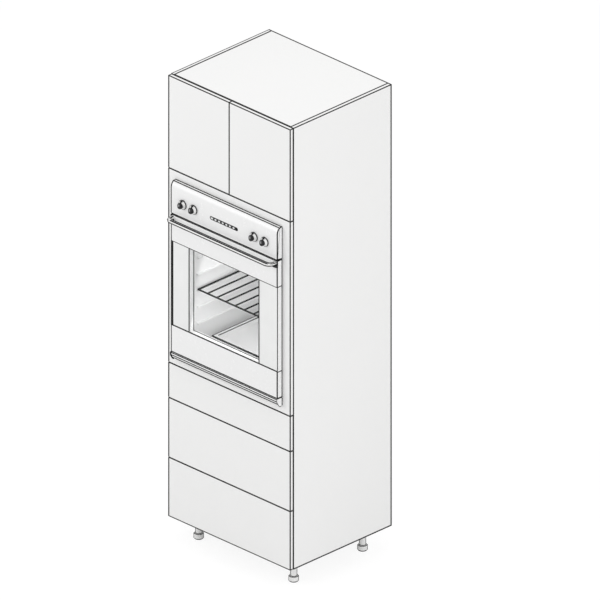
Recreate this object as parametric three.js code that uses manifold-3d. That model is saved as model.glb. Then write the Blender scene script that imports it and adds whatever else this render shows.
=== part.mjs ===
// Tall oven housing unit: a frameless tall kitchen cabinet on four levelling legs, with a
// built-in oven in a front frame, two cupboard doors above it and three drawers below it.
// Millimetres, +Z up. The front faces -Y, +X is the right-hand side seen from the front,
// and the origin is the middle of the footprint, on the floor.
import * as THREE from 'three';
import { mergeVertices } from 'three/addons/utils/BufferGeometryUtils.js';
import Module from 'manifold-3d';

const wasm = await Module();
wasm.setup();

// ---- Driving dimensions -------------------------------------------------------------------

const WIDTH = 762; // 30 inches
const CARCASS_DEPTH = 609.6; // 24 inches
const HEIGHT = 2286; // 90 inches, floor to top
const LEG_HEIGHT = 114.3; // 4.5 inches
const PANEL = 19; // carcass boards
const BACK_PANEL = 12;
const FRONT = 18; // doors and drawer fronts
const FRONT_STANDOFF = 2; // fronts stand this far off the carcass edges
const REVEAL = 1.5; // each front is this much smaller than its bay, all round
const TOUCH = 0.3; // gap kept between pieces that bear on each other
const OVEN_PROUD = 32.5; // oven face ahead of the fronts
const HANDLE_PROUD = 45; // oven handle ahead of the oven face

// Levels of the joints between the fronts, measured from the floor.
const Z_DRAWER_2 = 406.7;
const Z_DRAWER_1 = 701;
const Z_FRAME = 874.5;
const Z_DOORS = 1830.5;

// Oven face: control panel over door over bottom trim.
const OVEN_WIDTH = 663;
const OVEN_BOTTOM = 913.6;
const OVEN_TOP = 1791.5;
const TRIM_TOP = 950.7;
const OVEN_DOOR_BOTTOM = 955.2;
const OVEN_DOOR_TOP = 1629.7;
const CONTROL_BOTTOM = 1638.3;
const WINDOW_BOTTOM = 1085.4;
const WINDOW_TOP = 1503.4;
const WINDOW_WIDTH = 434;
const DECK_ABOVE_TRIM = 15.9; // top of the oven's board above the foot of the trim

// ---- Places worked out from them ----------------------------------------------------------

const TOTAL_DEPTH = CARCASS_DEPTH + FRONT_STANDOFF + FRONT + OVEN_PROUD + HANDLE_PROUD;
const Y_BACK = TOTAL_DEPTH / 2;
const Y_CARCASS = Y_BACK - CARCASS_DEPTH; // front edges of the carcass boards
const Y_FRONT_BACK = Y_CARCASS - FRONT_STANDOFF;
const Y_FRONT = Y_FRONT_BACK - FRONT;
const Y_OVEN = Y_FRONT - OVEN_PROUD;
const X_OUT = WIDTH / 2;
const X_IN = X_OUT - PANEL; // inner faces of the side panels
const Y_INNER_BACK = Y_BACK - BACK_PANEL;
const Z_OVEN_DECK = OVEN_BOTTOM + DECK_ABOVE_TRIM; // top of the board that the oven stands on
const Z_UPPER_DECK = Z_DOORS + PANEL / 2; // top of the floor of the cupboard

// ---- Finishes -----------------------------------------------------------------------------

function finish(color, roughness, metalness = 0) {
  return new THREE.MeshStandardMaterial({ color, roughness, metalness });
}

const LACQUER = finish(0xf3f3f1, 0.42);
const BOARD = finish(0xecebe7, 0.6);
const STEEL = finish(0xc9cbcd, 0.35, 0.9);
const ENAMEL_WHITE = finish(0xf5f5f4, 0.25);
const ENAMEL_PALE = finish(0xdfe0df, 0.35);
const GLASS_PANE = finish(0xeef1f1, 0.05);
const DARK_PLASTIC = finish(0x1c1c1e, 0.45);
const PALE_PLASTIC = finish(0xe9e9e7, 0.5);
const BLACK_WIRE = finish(0x17171a, 0.35, 0.4);

// ---- Solid helpers ------------------------------------------------------------------------

// A closed three.js geometry as a solid that can be joined and cut.
function solid(geometry) {
  const loose = geometry.index ? geometry.toNonIndexed() : geometry.clone();
  loose.deleteAttribute('normal');
  loose.deleteAttribute('uv');
  const merged = mergeVertices(loose, 1e-4);
  return new wasm.Manifold(new wasm.Mesh({
    numProp: 3,
    vertProperties: new Float32Array(merged.attributes.position.array),
    triVerts: new Uint32Array(merged.index.array),
  }));
}

// The way back: a solid as a three.js geometry.
function surface(body) {
  const mesh = body.getMesh();
  const count = mesh.vertProperties.length / mesh.numProp;
  const points = new Float32Array(count * 3);
  for (let i = 0; i < count; i += 1) {
    for (let k = 0; k < 3; k += 1) points[i * 3 + k] = mesh.vertProperties[i * mesh.numProp + k];
  }
  const geometry = new THREE.BufferGeometry();
  geometry.setAttribute('position', new THREE.BufferAttribute(points, 3));
  geometry.setIndex(new THREE.BufferAttribute(new Uint32Array(mesh.triVerts), 1));
  geometry.computeVertexNormals();
  return geometry;
}

// Box between two corners.
function box(x0, x1, y0, y1, z0, z1) {
  const geometry = new THREE.BoxGeometry(x1 - x0, y1 - y0, z1 - z0);
  geometry.translate((x0 + x1) / 2, (y0 + y1) / 2, (z0 + z1) / 2);
  return geometry;
}

// Turned piece about the Z axis from [radius, height] points, bottom to top.
function turned(profile, sides) {
  const points = profile.map(([r, z]) => new THREE.Vector2(r, z));
  return new THREE.LatheGeometry(points, sides).rotateX(Math.PI / 2);
}

// Plain round bar along the Z axis.
function bar(radius, z0, z1, sides = 16) {
  return turned([[0, z0], [radius, z0], [radius, z1], [0, z1]], sides);
}

// Outline in the XY plane raised from z0 to z1.
function raised(outline, z0, z1) {
  const shape = new THREE.Shape(outline.map(([x, y]) => new THREE.Vector2(x, y)));
  const geometry = new THREE.ExtrudeGeometry(shape, { depth: z1 - z0, bevelEnabled: false });
  return geometry.translate(0, 0, z0);
}

// Outline given as [depth Y, height Z], drawn out along X between two ends.
function drawnAlongX(outline, x0, x1) {
  return raised(outline, x0, x1).applyMatrix4(new THREE.Matrix4().set(
    0, 0, 1, 0,
    1, 0, 0, 0,
    0, 1, 0, 0,
    0, 0, 0, 1,
  ));
}

// Outline given as [X, height Z], drawn out along Y between two ends.
function drawnAlongY(outline, y0, y1) {
  const turn = new THREE.Matrix4().makeRotationX(Math.PI / 2);
  return raised(outline, -y1, -y0).applyMatrix4(turn);
}

// Points on a circular arc, from one angle to the other, in degrees.
function arc(cx, cy, radius, from, to, steps) {
  const points = [];
  for (let i = 0; i <= steps; i += 1) {
    const angle = THREE.MathUtils.degToRad(from + ((to - from) * i) / steps);
    points.push([cx + radius * Math.cos(angle), cy + radius * Math.sin(angle)]);
  }
  return points;
}

function join(...geometries) {
  return geometries.map(solid).reduce((a, b) => a.add(b));
}

function cut(body, ...geometries) {
  return geometries.map(solid).reduce((a, b) => a.subtract(b), body);
}

const unit = new THREE.Group();

function piece(name, shape, material, at = [0, 0, 0], parent = unit) {
  const geometry = shape instanceof THREE.BufferGeometry ? shape : surface(shape);
  const mesh = new THREE.Mesh(geometry, material);
  mesh.name = name;
  mesh.position.set(...at);
  parent.add(mesh);
  return mesh;
}

// ---- Carcass ------------------------------------------------------------------------------

const LEG_INSET_SIDE = 86;
const LEG_INSET_FRONT = 86;
const LEG_INSET_BACK = 96;
const SPIGOT_RADIUS = 5;
const SPIGOT_LENGTH = 10;
const SPIGOT_PLAY = 0.4;
const FOOT_RADIUS = 21.2;
const FOOT_HEIGHT = 26.7;
const STEM_RADIUS = 13.75;
const LEG_PLACES = [
  ['leg_front_left', -(X_OUT - LEG_INSET_SIDE), Y_CARCASS + LEG_INSET_FRONT],
  ['leg_front_right', X_OUT - LEG_INSET_SIDE, Y_CARCASS + LEG_INSET_FRONT],
  ['leg_back_left', -(X_OUT - LEG_INSET_SIDE), Y_BACK - LEG_INSET_BACK],
  ['leg_back_right', X_OUT - LEG_INSET_SIDE, Y_BACK - LEG_INSET_BACK],
];

// Opening of the front frame that the oven body passes through.
const CUTOUT_HALF = 316.5;
const CUTOUT_BOTTOM = 928;
const CUTOUT_TOP = 1777;

// Opening of the back panel behind the oven.
const BACK_CUTOUT_HALF = 260;
const BACK_CUTOUT_BOTTOM = 1000;
const BACK_CUTOUT_TOP = 1700;

function addCarcass() {
  const between = X_IN - TOUCH;
  const deckBack = Y_INNER_BACK - TOUCH;
  piece('side_panel_left', box(-X_OUT, -X_IN, Y_CARCASS, Y_BACK, LEG_HEIGHT, HEIGHT), LACQUER);
  piece('side_panel_right', box(X_IN, X_OUT, Y_CARCASS, Y_BACK, LEG_HEIGHT, HEIGHT), LACQUER);
  piece('top_panel', box(-between, between, Y_CARCASS, Y_BACK, HEIGHT - PANEL, HEIGHT), LACQUER);
  piece('upper_deck',
    box(-between, between, Y_CARCASS, deckBack, Z_UPPER_DECK - PANEL, Z_UPPER_DECK), BOARD);
  piece('oven_deck',
    box(-between, between, Y_CARCASS, deckBack, Z_OVEN_DECK - PANEL, Z_OVEN_DECK), BOARD);

  const floor = solid(box(-between, between, Y_CARCASS, Y_BACK, LEG_HEIGHT, LEG_HEIGHT + PANEL));
  const sockets = LEG_PLACES.map(([, x, y]) => bar(SPIGOT_RADIUS + SPIGOT_PLAY,
    LEG_HEIGHT - 1, LEG_HEIGHT + SPIGOT_LENGTH + SPIGOT_PLAY).translate(x, y, 0));
  piece('bottom_panel', cut(floor, ...sockets), LACQUER);

  // The back is cut away behind the oven, for air and for its supply.
  const back = solid(box(-between, between, Y_INNER_BACK, Y_BACK,
    LEG_HEIGHT + PANEL + TOUCH, HEIGHT - PANEL - TOUCH));
  const window = box(-BACK_CUTOUT_HALF, BACK_CUTOUT_HALF, Y_INNER_BACK - 1, Y_BACK + 1,
    BACK_CUTOUT_BOTTOM, BACK_CUTOUT_TOP);
  piece('back_panel', cut(back, window), BOARD);

  const frame = solid(box(-X_OUT + REVEAL, X_OUT - REVEAL, Y_FRONT, Y_CARCASS - TOUCH,
    Z_FRAME + REVEAL, Z_DOORS - REVEAL));
  const opening = box(-CUTOUT_HALF, CUTOUT_HALF, Y_FRONT - 1, Y_CARCASS + 1,
    CUTOUT_BOTTOM, CUTOUT_TOP);
  piece('oven_frame_panel', cut(frame, opening), LACQUER);
}

// Levelling leg: wide foot with a sloped shoulder, thick stem, and a spigot that turns in
// the bottom panel.
function addLegs() {
  const top = LEG_HEIGHT - TOUCH;
  const leg = turned([
    [0, 0], [FOOT_RADIUS - 1, 0], [FOOT_RADIUS, 1], [FOOT_RADIUS, FOOT_HEIGHT - 1.2],
    [FOOT_RADIUS - 1.2, FOOT_HEIGHT], [STEM_RADIUS + 1, FOOT_HEIGHT], [STEM_RADIUS, FOOT_HEIGHT + 1],
    [STEM_RADIUS, top], [SPIGOT_RADIUS, top],
    [SPIGOT_RADIUS, LEG_HEIGHT + SPIGOT_LENGTH], [0, LEG_HEIGHT + SPIGOT_LENGTH],
  ], 24);
  LEG_PLACES.forEach(([name, x, y]) => piece(name, leg.clone(), PALE_PLASTIC, [x, y, 0]));
}

// ---- Cupboard doors and their concealed hinges --------------------------------------------

const CUP_FROM_EDGE = 22.5; // centre of the cup from the door's edge
const CUP_RADIUS = 17.5;
const CUP_DEPTH = 12;
const CUP_WALL = 1.6;
const CUP_RIM = 2.5; // width of the rim round the cup's mouth
const CUP_RIM_THICK = 0.9;
const HINGE_PLATE_THICK = 2.5;
const HINGE_PLATE_FROM_EDGE = 22; // from the side panel's front edge
const HINGE_PLATE_LENGTH = 40;
const HINGE_PLATE_HALF = 26;
const HINGE_ARM_OUT = 12; // arm from the side panel's inner face
const HINGE_ARM_LENGTH = 78;
const HINGE_ARM_HALF = 8;
const HINGE_NOSE_REACH = 9.5; // nose ahead of the carcass, into the cup
const HINGE_NOSE_HALF = 6;
const HINGE_FROM_END = 95;
const HINGE_LEVELS = [
  ['lower', Z_DOORS + HINGE_FROM_END],
  ['upper', HEIGHT - HINGE_FROM_END],
];

// Closed cup with a thin rim, its mouth towards +Z of its own frame and the rim on z = 0.
function cupShape() {
  const radius = CUP_RADIUS - TOUCH;
  const floor = -CUP_DEPTH + TOUCH;
  const lip = TOUCH + CUP_RIM_THICK;
  return turned([
    [0, floor], [radius, floor], [radius, TOUCH], [CUP_RADIUS + CUP_RIM, TOUCH],
    [CUP_RADIUS + CUP_RIM, lip], [radius - CUP_WALL, lip],
    [radius - CUP_WALL, floor + CUP_WALL], [0, floor + CUP_WALL],
  ], 24).rotateX(-Math.PI / 2);
}

// Arm for the right-hand side: mounting plate on the side panel, arm over it, and a nose
// that reaches into the cup. It is mirrored in X for the left-hand side.
function armShape(side) {
  const face = X_IN - TOUCH;
  const nose = X_OUT - REVEAL - CUP_FROM_EDGE;
  const parts = [
    [face - HINGE_PLATE_THICK, face, Y_CARCASS + HINGE_PLATE_FROM_EDGE,
      Y_CARCASS + HINGE_PLATE_FROM_EDGE + HINGE_PLATE_LENGTH, -HINGE_PLATE_HALF, HINGE_PLATE_HALF],
    [face - HINGE_ARM_OUT, face - 2, Y_CARCASS + 1,
      Y_CARCASS + HINGE_ARM_LENGTH, -HINGE_ARM_HALF, HINGE_ARM_HALF],
    [nose - 7, nose + 3.5, Y_CARCASS - HINGE_NOSE_REACH,
      Y_CARCASS + 3, -HINGE_NOSE_HALF, HINGE_NOSE_HALF],
  ];
  const boxes = parts.map(([x0, x1, ...rest]) => (side > 0
    ? box(x0, x1, ...rest) : box(-x1, -x0, ...rest)));
  return join(...boxes);
}

function addDoor(label, side) {
  const inner = REVEAL;
  const outer = X_OUT - REVEAL;
  const z0 = Z_DOORS + REVEAL;
  const z1 = HEIGHT - REVEAL;
  const cupX = side * (outer - CUP_FROM_EDGE);
  const leaf = side > 0
    ? box(inner, outer, Y_FRONT, Y_FRONT_BACK, z0, z1)
    : box(-outer, -inner, Y_FRONT, Y_FRONT_BACK, z0, z1);
  const recesses = HINGE_LEVELS.map(([, z]) => bar(CUP_RADIUS, -CUP_DEPTH, 1, 24)
    .rotateX(-Math.PI / 2).translate(cupX, Y_FRONT_BACK, z));
  const door = new THREE.Group();
  unit.add(door);
  piece(`door_${label}`, cut(solid(leaf), ...recesses), LACQUER, [0, 0, 0], door);
  HINGE_LEVELS.forEach(([level, z]) => {
    piece(`hinge_cup_${label}_${level}`, cupShape(), STEEL, [cupX, Y_FRONT_BACK, z], door);
    piece(`hinge_arm_${label}_${level}`, armShape(side), STEEL, [0, 0, z]);
  });
}

// ---- Drawers and their runners ------------------------------------------------------------

const RUNNER_LENGTH = 500;
const RUNNER_HALF = 20; // half the height of the cabinet rail
const RUNNER_SHEET = 2;
const RUNNER_SETBACK = 3; // front of the rail behind the carcass boards' front edges
const BOTTOM_RAISED = 2; // drawer bottom above the foot of the drawer sides
const RUNNER_FROM_BASE = 44; // middle of the runner above the drawer's underside
const RUNNER_FACE = X_IN - 12; // face of the cabinet rail
const SIDE_OUT = RUNNER_FACE - 1; // outer face of the drawer side
const SIDE_THICK = 12;
const SIDE_SHEET = 1.5; // sheet that the double-walled side is folded from
const TONGUE_HALF = 16.5;
const TONGUE_OUT = X_IN - 4;
const BOX_FROM_BAY = 31; // underside of the drawer box above the bottom of its bay
const DRAWERS = [
  { label: 'top', z0: Z_DRAWER_1, z1: Z_FRAME, height: 118 },
  { label: 'middle', z0: Z_DRAWER_2, z1: Z_DRAWER_1, height: 200 },
  { label: 'bottom', z0: LEG_HEIGHT, z1: Z_DRAWER_2, height: 200 },
];

function mirrored(outline, side) {
  return side > 0 ? outline : outline.map(([x, y]) => [-x, y]).reverse();
}

// C-shaped cabinet rail, open towards the drawer.
function railOutline(z) {
  const face = X_IN - TOUCH;
  const h = RUNNER_HALF;
  const t = RUNNER_SHEET;
  return [
    [RUNNER_FACE, z - h], [face, z - h], [face, z + h], [RUNNER_FACE, z + h],
    [RUNNER_FACE, z + h - t], [face - t, z + h - t], [face - t, z - h + t],
    [RUNNER_FACE, z - h + t],
  ];
}

// Double-walled drawer side, open underneath, with the tongue that runs in the rail.
function drawerSideOutline(z0, z1, z) {
  const inner = SIDE_OUT - SIDE_THICK;
  const t = SIDE_SHEET;
  return [
    [inner, z0], [inner + t, z0], [inner + t, z1 - t], [SIDE_OUT - t, z1 - t],
    [SIDE_OUT - t, z0], [SIDE_OUT, z0], [SIDE_OUT, z - TONGUE_HALF],
    [TONGUE_OUT, z - TONGUE_HALF], [TONGUE_OUT, z + TONGUE_HALF],
    [SIDE_OUT, z + TONGUE_HALF], [SIDE_OUT, z1], [inner, z1],
  ];
}

function addDrawer({ label, z0, z1, height }) {
  const base = z0 + BOX_FROM_BAY;
  const top = base + height;
  const runnerZ = base + RUNNER_FROM_BASE;
  const boxFront = Y_FRONT_BACK + TOUCH;
  const boxBack = boxFront + RUNNER_LENGTH;
  const inside = SIDE_OUT - SIDE_THICK - TOUCH;
  const drawer = new THREE.Group();
  unit.add(drawer);
  const name = `drawer_${label}`;
  piece(`${name}_front`, box(-X_OUT + REVEAL, X_OUT - REVEAL, Y_FRONT, Y_FRONT_BACK,
    z0 + REVEAL, z1 - REVEAL), LACQUER, [0, 0, 0], drawer);
  [['left', -1], ['right', 1]].forEach(([hand, side]) => {
    piece(`${name}_side_${hand}`, drawnAlongY(mirrored(drawerSideOutline(base, top, runnerZ), side),
      boxFront, boxBack), STEEL, [0, 0, 0], drawer);
    piece(`${name}_rail_${hand}`, drawnAlongY(mirrored(railOutline(runnerZ), side),
      Y_CARCASS + RUNNER_SETBACK, Y_CARCASS + RUNNER_SETBACK + RUNNER_LENGTH), STEEL);
  });
  piece(`${name}_back`, box(-inside, inside, boxBack - SIDE_THICK, boxBack, base, top),
    BOARD, [0, 0, 0], drawer);
  piece(`${name}_bottom`, box(-inside, inside, boxFront, boxBack - SIDE_THICK - TOUCH,
    base + BOTTOM_RAISED, base + BOTTOM_RAISED + SIDE_THICK), BOARD, [0, 0, 0], drawer);
}

// ---- Oven: casing and cavity --------------------------------------------------------------

const CASING_HALF = 314;
const CASING_WALL = 2;
const CASING_BOTTOM = Z_OVEN_DECK + TOUCH;
const CASING_TOP = 1775;
const CASING_FRONT = Y_FRONT + 0.5;
const CASING_BACK = Y_CARCASS + 540;
const CASING_VENT_HALF = 160;
const CASING_VENT_HEIGHT = 10;
const CASING_VENT_LEVELS = [1620, 1650, 1680, 1710, 1740];
const CAVITY_HALF = 234.5;
const CAVITY_FLOOR = 1004;
const CAVITY_CEILING = 1560;
const CAVITY_FRONT = Y_CARCASS - 8; // the liner's flange, inside the front frame
const CAVITY_DEPTH = 440;
const CAVITY_WALL = 2;
const LEDGE_TOPS = [1105, 1186, 1267, 1348, 1429];
const LEDGE_REACH = 14;
const LEDGE_THICK = 5;
const LEDGE_FROM_FRONT = 20;
const LEDGE_FROM_BACK = 15;

function addOvenBody() {
  const wall = CASING_WALL;
  const casing = cut(
    solid(box(-CASING_HALF, CASING_HALF, CASING_FRONT, CASING_BACK, CASING_BOTTOM, CASING_TOP)),
    box(-CASING_HALF + wall, CASING_HALF - wall, CASING_FRONT - 1, CASING_BACK - wall,
      CASING_BOTTOM + wall, CASING_TOP - wall),
    ...CASING_VENT_LEVELS.map((z) => box(-CASING_VENT_HALF, CASING_VENT_HALF,
      CASING_BACK - wall - 1, CASING_BACK + 1, z, z + CASING_VENT_HEIGHT)),
  );
  piece('oven_casing', casing, STEEL);

  const t = CAVITY_WALL;
  const back = CAVITY_FRONT + CAVITY_DEPTH;
  const flange = CASING_HALF - CASING_WALL - TOUCH;
  const shell = cut(
    join(
      box(-CAVITY_HALF - t, CAVITY_HALF + t, CAVITY_FRONT, back + t,
        CAVITY_FLOOR - t, CAVITY_CEILING + t),
      box(-flange, flange, CAVITY_FRONT, CAVITY_FRONT + t,
        CASING_BOTTOM + CASING_WALL + TOUCH, CASING_TOP - CASING_WALL - TOUCH),
    ),
    box(-CAVITY_HALF, CAVITY_HALF, CAVITY_FRONT - 1, back, CAVITY_FLOOR, CAVITY_CEILING),
  );
  const ledges = LEDGE_TOPS.flatMap((z) => [-1, 1].map((side) => {
    const x0 = side > 0 ? CAVITY_HALF - LEDGE_REACH : -CAVITY_HALF - 1;
    return solid(box(x0, x0 + LEDGE_REACH + 1, CAVITY_FRONT + LEDGE_FROM_FRONT,
      back - LEDGE_FROM_BACK, z - LEDGE_THICK, z));
  }));
  piece('oven_cavity', ledges.reduce((a, b) => a.add(b), shell), ENAMEL_PALE);
}

// ---- Oven: shelf and tray -----------------------------------------------------------------

const WIRE_RADIUS = 3.5;
const RACK_HALF = 231.5;
const RACK_FRONT = CAVITY_FRONT + 23; // middle of the front rail
const RACK_DEPTH = 390;
const RACK_CROSS_WIRE = 300; // the one between the rails, from the front rail
const RACK_WIRES = 9;
const RACK_Z = LEDGE_TOPS[2] + TOUCH + WIRE_RADIUS;

function wireAlongX(x0, x1, y) {
  return bar(WIRE_RADIUS, x0, x1, 8).rotateY(Math.PI / 2).translate(0, y, 0);
}

function wireAlongY(x, y0, y1) {
  return bar(WIRE_RADIUS, -y1, -y0, 8).rotateX(Math.PI / 2).translate(x, 0, 0);
}

function addRack() {
  const reach = RACK_HALF - WIRE_RADIUS;
  const back = RACK_FRONT + RACK_DEPTH;
  const wires = [0, RACK_CROSS_WIRE, RACK_DEPTH].map((d) => wireAlongX(-RACK_HALF, RACK_HALF,
    RACK_FRONT + d));
  for (let i = 0; i < RACK_WIRES; i += 1) {
    const x = -reach + (2 * reach * i) / (RACK_WIRES - 1);
    wires.push(wireAlongY(x, RACK_FRONT, back));
  }
  piece('wire_rack', join(...wires), BLACK_WIRE, [0, 0, RACK_Z]);
}

const TRAY_HALF = 212;
const TRAY_FRONT = CAVITY_FRONT + 89;
const TRAY_DEPTH = 300;
const TRAY_RIM = 22;
const TRAY_HEIGHT = 22.7;
const TRAY_SHEET = 1.6;
const TRAY_SLOPE = 7; // how far the walls lean out from foot to rim

// Four-sided block whose plan changes evenly from its foot to its head.
function tapered(footX, headX, footY, headY, z0, z1) {
  const corners = [[-1, -1], [1, -1], [1, 1], [-1, 1]];
  const points = [
    ...corners.map(([x, y]) => [x * footX, y * footY, z0]),
    ...corners.map(([x, y]) => [x * headX, y * headY, z1]),
  ];
  const faces = [0, 2, 1, 0, 3, 2, 4, 5, 6, 4, 6, 7];
  for (let i = 0; i < 4; i += 1) {
    const j = (i + 1) % 4;
    faces.push(i, j, j + 4, i, j + 4, i + 4);
  }
  const geometry = new THREE.BufferGeometry();
  geometry.setAttribute('position', new THREE.Float32BufferAttribute(points.flat(), 3));
  geometry.setIndex(faces);
  return geometry;
}

function addTray() {
  const halfY = TRAY_DEPTH / 2;
  const innerX = TRAY_HALF - TRAY_RIM;
  const innerY = halfY - TRAY_RIM;
  const slope = TRAY_SLOPE;
  const t = TRAY_SHEET;
  const h = TRAY_HEIGHT;
  const outside = join(
    tapered(innerX - slope, innerX, innerY - slope, innerY, 0, h),
    box(-TRAY_HALF, TRAY_HALF, -halfY, halfY, h - t, h),
  );
  const hollow = tapered(innerX - slope - t, innerX - t + 0.3,
    innerY - slope - t, innerY - t + 0.3, t, h + 1);
  piece('baking_tray', cut(outside, hollow), ENAMEL_PALE,
    [0, TRAY_FRONT + halfY, CAVITY_FLOOR + TOUCH]);
}

// ---- Oven: control panel, trim, knobs and indicator strip ---------------------------------

const FACE_DEPTH = Y_FRONT - TOUCH - Y_OVEN; // oven face to the front frame
const OVEN_HALF = OVEN_WIDTH / 2;
const KNOB_Z = 1702.5;
const KNOB_FROM_EDGE = [76.7, 144];
const KNOB_RADIUS = 23;
const KNOB_SKIRT = 5; // thickness of the skirt
const KNOB_BODY_RADIUS = 14.5;
const KNOB_BODY = 14; // body ahead of the panel
const KNOB_PROUD = 26; // grip ahead of the panel
const GRIP_HALF_WIDTH = 8.5;
const GRIP_HALF_HEIGHT = 14;
const SHAFT_RADIUS = 3;
const SHAFT_LENGTH = 12;
const SHAFT_PLAY = 0.5;
const CONTROL_SKIN = 3;
const CONTROL_RIM = 6; // solid edge round the pocket behind the control panel's face
const ROLL_HEIGHT = 28; // height of the rolled top of the control panel
const STRIP_Z = 1700;
const STRIP_LENGTH = 174;
const STRIP_HEIGHT = 17;
const STRIP_PLAY = 0.4;
const STRIP_PROUD = 0.8;
const STRIP_SUNK = 1.2;
const LENS_COUNT = 8;
const LENS_PITCH = 20.4;
const LENS_RADIUS = 6.5;
const LENS_PROUD = 1.8;

// Side view of the control panel: its face rolls back at the top.
function controlOutline() {
  return [
    [0, CONTROL_BOTTOM], [FACE_DEPTH, CONTROL_BOTTOM], [FACE_DEPTH, OVEN_TOP],
    [20, OVEN_TOP], [14, OVEN_TOP - 2], [10, OVEN_TOP - 4.6], [6, OVEN_TOP - 9.4],
    [3, OVEN_TOP - 15.6], [1, OVEN_TOP - 21.6], [0, OVEN_TOP - ROLL_HEIGHT],
  ];
}

function trimOutline() {
  return [
    [0, TRIM_TOP - 8], [1.6, TRIM_TOP - 15], [6.7, TRIM_TOP - 23.2], [12, OVEN_BOTTOM + 5.6],
    [19, OVEN_BOTTOM], [FACE_DEPTH, OVEN_BOTTOM], [FACE_DEPTH, TRIM_TOP], [0, TRIM_TOP],
  ];
}

// Stadium outline in X and Z, about its own middle.
function stadium(length, height) {
  const r = height / 2;
  const reach = length / 2 - r;
  return [...arc(reach, 0, r, -90, 90, 8), ...arc(-reach, 0, r, 90, 270, 8)];
}

function knobPlaces() {
  const places = KNOB_FROM_EDGE.map((d) => OVEN_HALF - d);
  return [-places[0], -places[1], places[1], places[0]];
}

function addControlPanel() {
  const blank = solid(drawnAlongX(controlOutline(), -OVEN_HALF, OVEN_HALF)
    .translate(0, Y_OVEN, 0));
  const pocket = box(-OVEN_HALF + CONTROL_RIM, OVEN_HALF - CONTROL_RIM,
    Y_OVEN + CONTROL_SKIN, Y_FRONT + 1,
    CONTROL_BOTTOM + CONTROL_RIM, OVEN_TOP - ROLL_HEIGHT - CONTROL_RIM);
  const holes = knobPlaces().map((x) => bar(SHAFT_RADIUS + SHAFT_PLAY, -10, 10)
    .rotateX(Math.PI / 2).translate(x, Y_OVEN, KNOB_Z));
  const seat = drawnAlongY(stadium(STRIP_LENGTH + 2 * STRIP_PLAY, STRIP_HEIGHT + 2 * STRIP_PLAY),
    -1, STRIP_SUNK + TOUCH).translate(0, Y_OVEN, STRIP_Z);
  piece('control_panel', cut(blank, pocket, seat, ...holes), ENAMEL_WHITE);

  const strip = drawnAlongY(stadium(STRIP_LENGTH, STRIP_HEIGHT), -STRIP_PROUD, STRIP_SUNK);
  const lenses = [];
  for (let i = 0; i < LENS_COUNT; i += 1) {
    const x = (i - (LENS_COUNT - 1) / 2) * LENS_PITCH;
    lenses.push(bar(LENS_RADIUS, 0, LENS_PROUD, 12).rotateX(Math.PI / 2).translate(x, 0, 0));
  }
  piece('indicator_strip', join(strip, ...lenses), DARK_PLASTIC, [0, Y_OVEN, STRIP_Z]);

  piece('bottom_trim', drawnAlongX(trimOutline(), -OVEN_HALF, OVEN_HALF)
    .translate(0, Y_OVEN, 0), ENAMEL_WHITE);
}

// Knob pointing along -Y: round skirt, body, grip bar, and a shaft through the panel.
function knobShape() {
  const turnedPart = turned([
    [0, -SHAFT_LENGTH], [SHAFT_RADIUS, -SHAFT_LENGTH], [SHAFT_RADIUS, TOUCH + 1],
    [KNOB_RADIUS - 1.5, TOUCH], [KNOB_RADIUS, TOUCH + 1.5], [KNOB_RADIUS - 0.6, KNOB_SKIRT],
    [KNOB_BODY_RADIUS + 2.5, KNOB_SKIRT + 2], [KNOB_BODY_RADIUS, KNOB_BODY], [0, KNOB_BODY],
  ], 28).rotateX(Math.PI / 2);
  const grip = box(-GRIP_HALF_WIDTH, GRIP_HALF_WIDTH, -KNOB_PROUD, -KNOB_SKIRT,
    -GRIP_HALF_HEIGHT, GRIP_HALF_HEIGHT);
  return join(turnedPart, grip);
}

function addKnobs() {
  knobPlaces().forEach((x, i) => piece(`knob_${i + 1}`, knobShape(), PALE_PLASTIC,
    [x, Y_OVEN, KNOB_Z]));
}

// ---- Oven door ----------------------------------------------------------------------------

const DOOR_SLAB = 30.5; // part of the door ahead of the front frame
const DOOR_EDGE_RADIUS = 4;
const DOOR_PLUG = 11; // narrower part that enters the oven's mouth
const DOOR_PLUG_HALF = 285;
const DOOR_PLUG_BOTTOM = 990;
const DOOR_PLUG_TOP = 1600;
const GLASS_RECESS = 0.6;
const GLASS_THICK = 4;
const SIDE_SKIN = 2; // thin side of the door beside the outer glass
const GLASS_REBATE = 8; // how far the inner glass overlaps the window's edge
const DOOR_SHEET = 2;
const DOOR_LIP = 2; // the window's reveal is this much smaller than the glass, top and bottom
const VENT_COUNT = 6;
const VENT_LENGTH = 70;
const VENT_PITCH = 92;
const VENT_FROM_FACE = 12;
const VENT_WIDTH = 6;
const PIVOT_FROM_FACE = 7;
const PIVOT_FROM_BOTTOM = 6;
const ARM_X = [297, 303];
const PIN_RADIUS = 3;
const PIN_REACH = 5;
const ARM_PLATE = 3;
const ARM_PLATE_DOWN = 20;
const ARM_PLATE_UP = 24;
const HANDLE_TOP = 1625;
const HANDLE_HEIGHT = 12;
const HANDLE_THICK = 20;
const HANDLE_CORNER = 39;
const HANDLE_FOOT_HEIGHT = 36;
const HANDLE_FOOT_DEPTH = 9;
const HOLLOW_EDGE = 5; // solid left at the door's sides
const HINGE_BAY_HALF = 288; // the lower hollow stops short of the hinges
const STILE_EDGE = 12; // solid left beside the window
const PIN_PLAY = 0.4;
const ARM_PLAY = 0.8;

const PIVOT_Y = Y_OVEN + PIVOT_FROM_FACE;
const PIVOT_Z = OVEN_DOOR_BOTTOM + PIVOT_FROM_BOTTOM;

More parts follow.
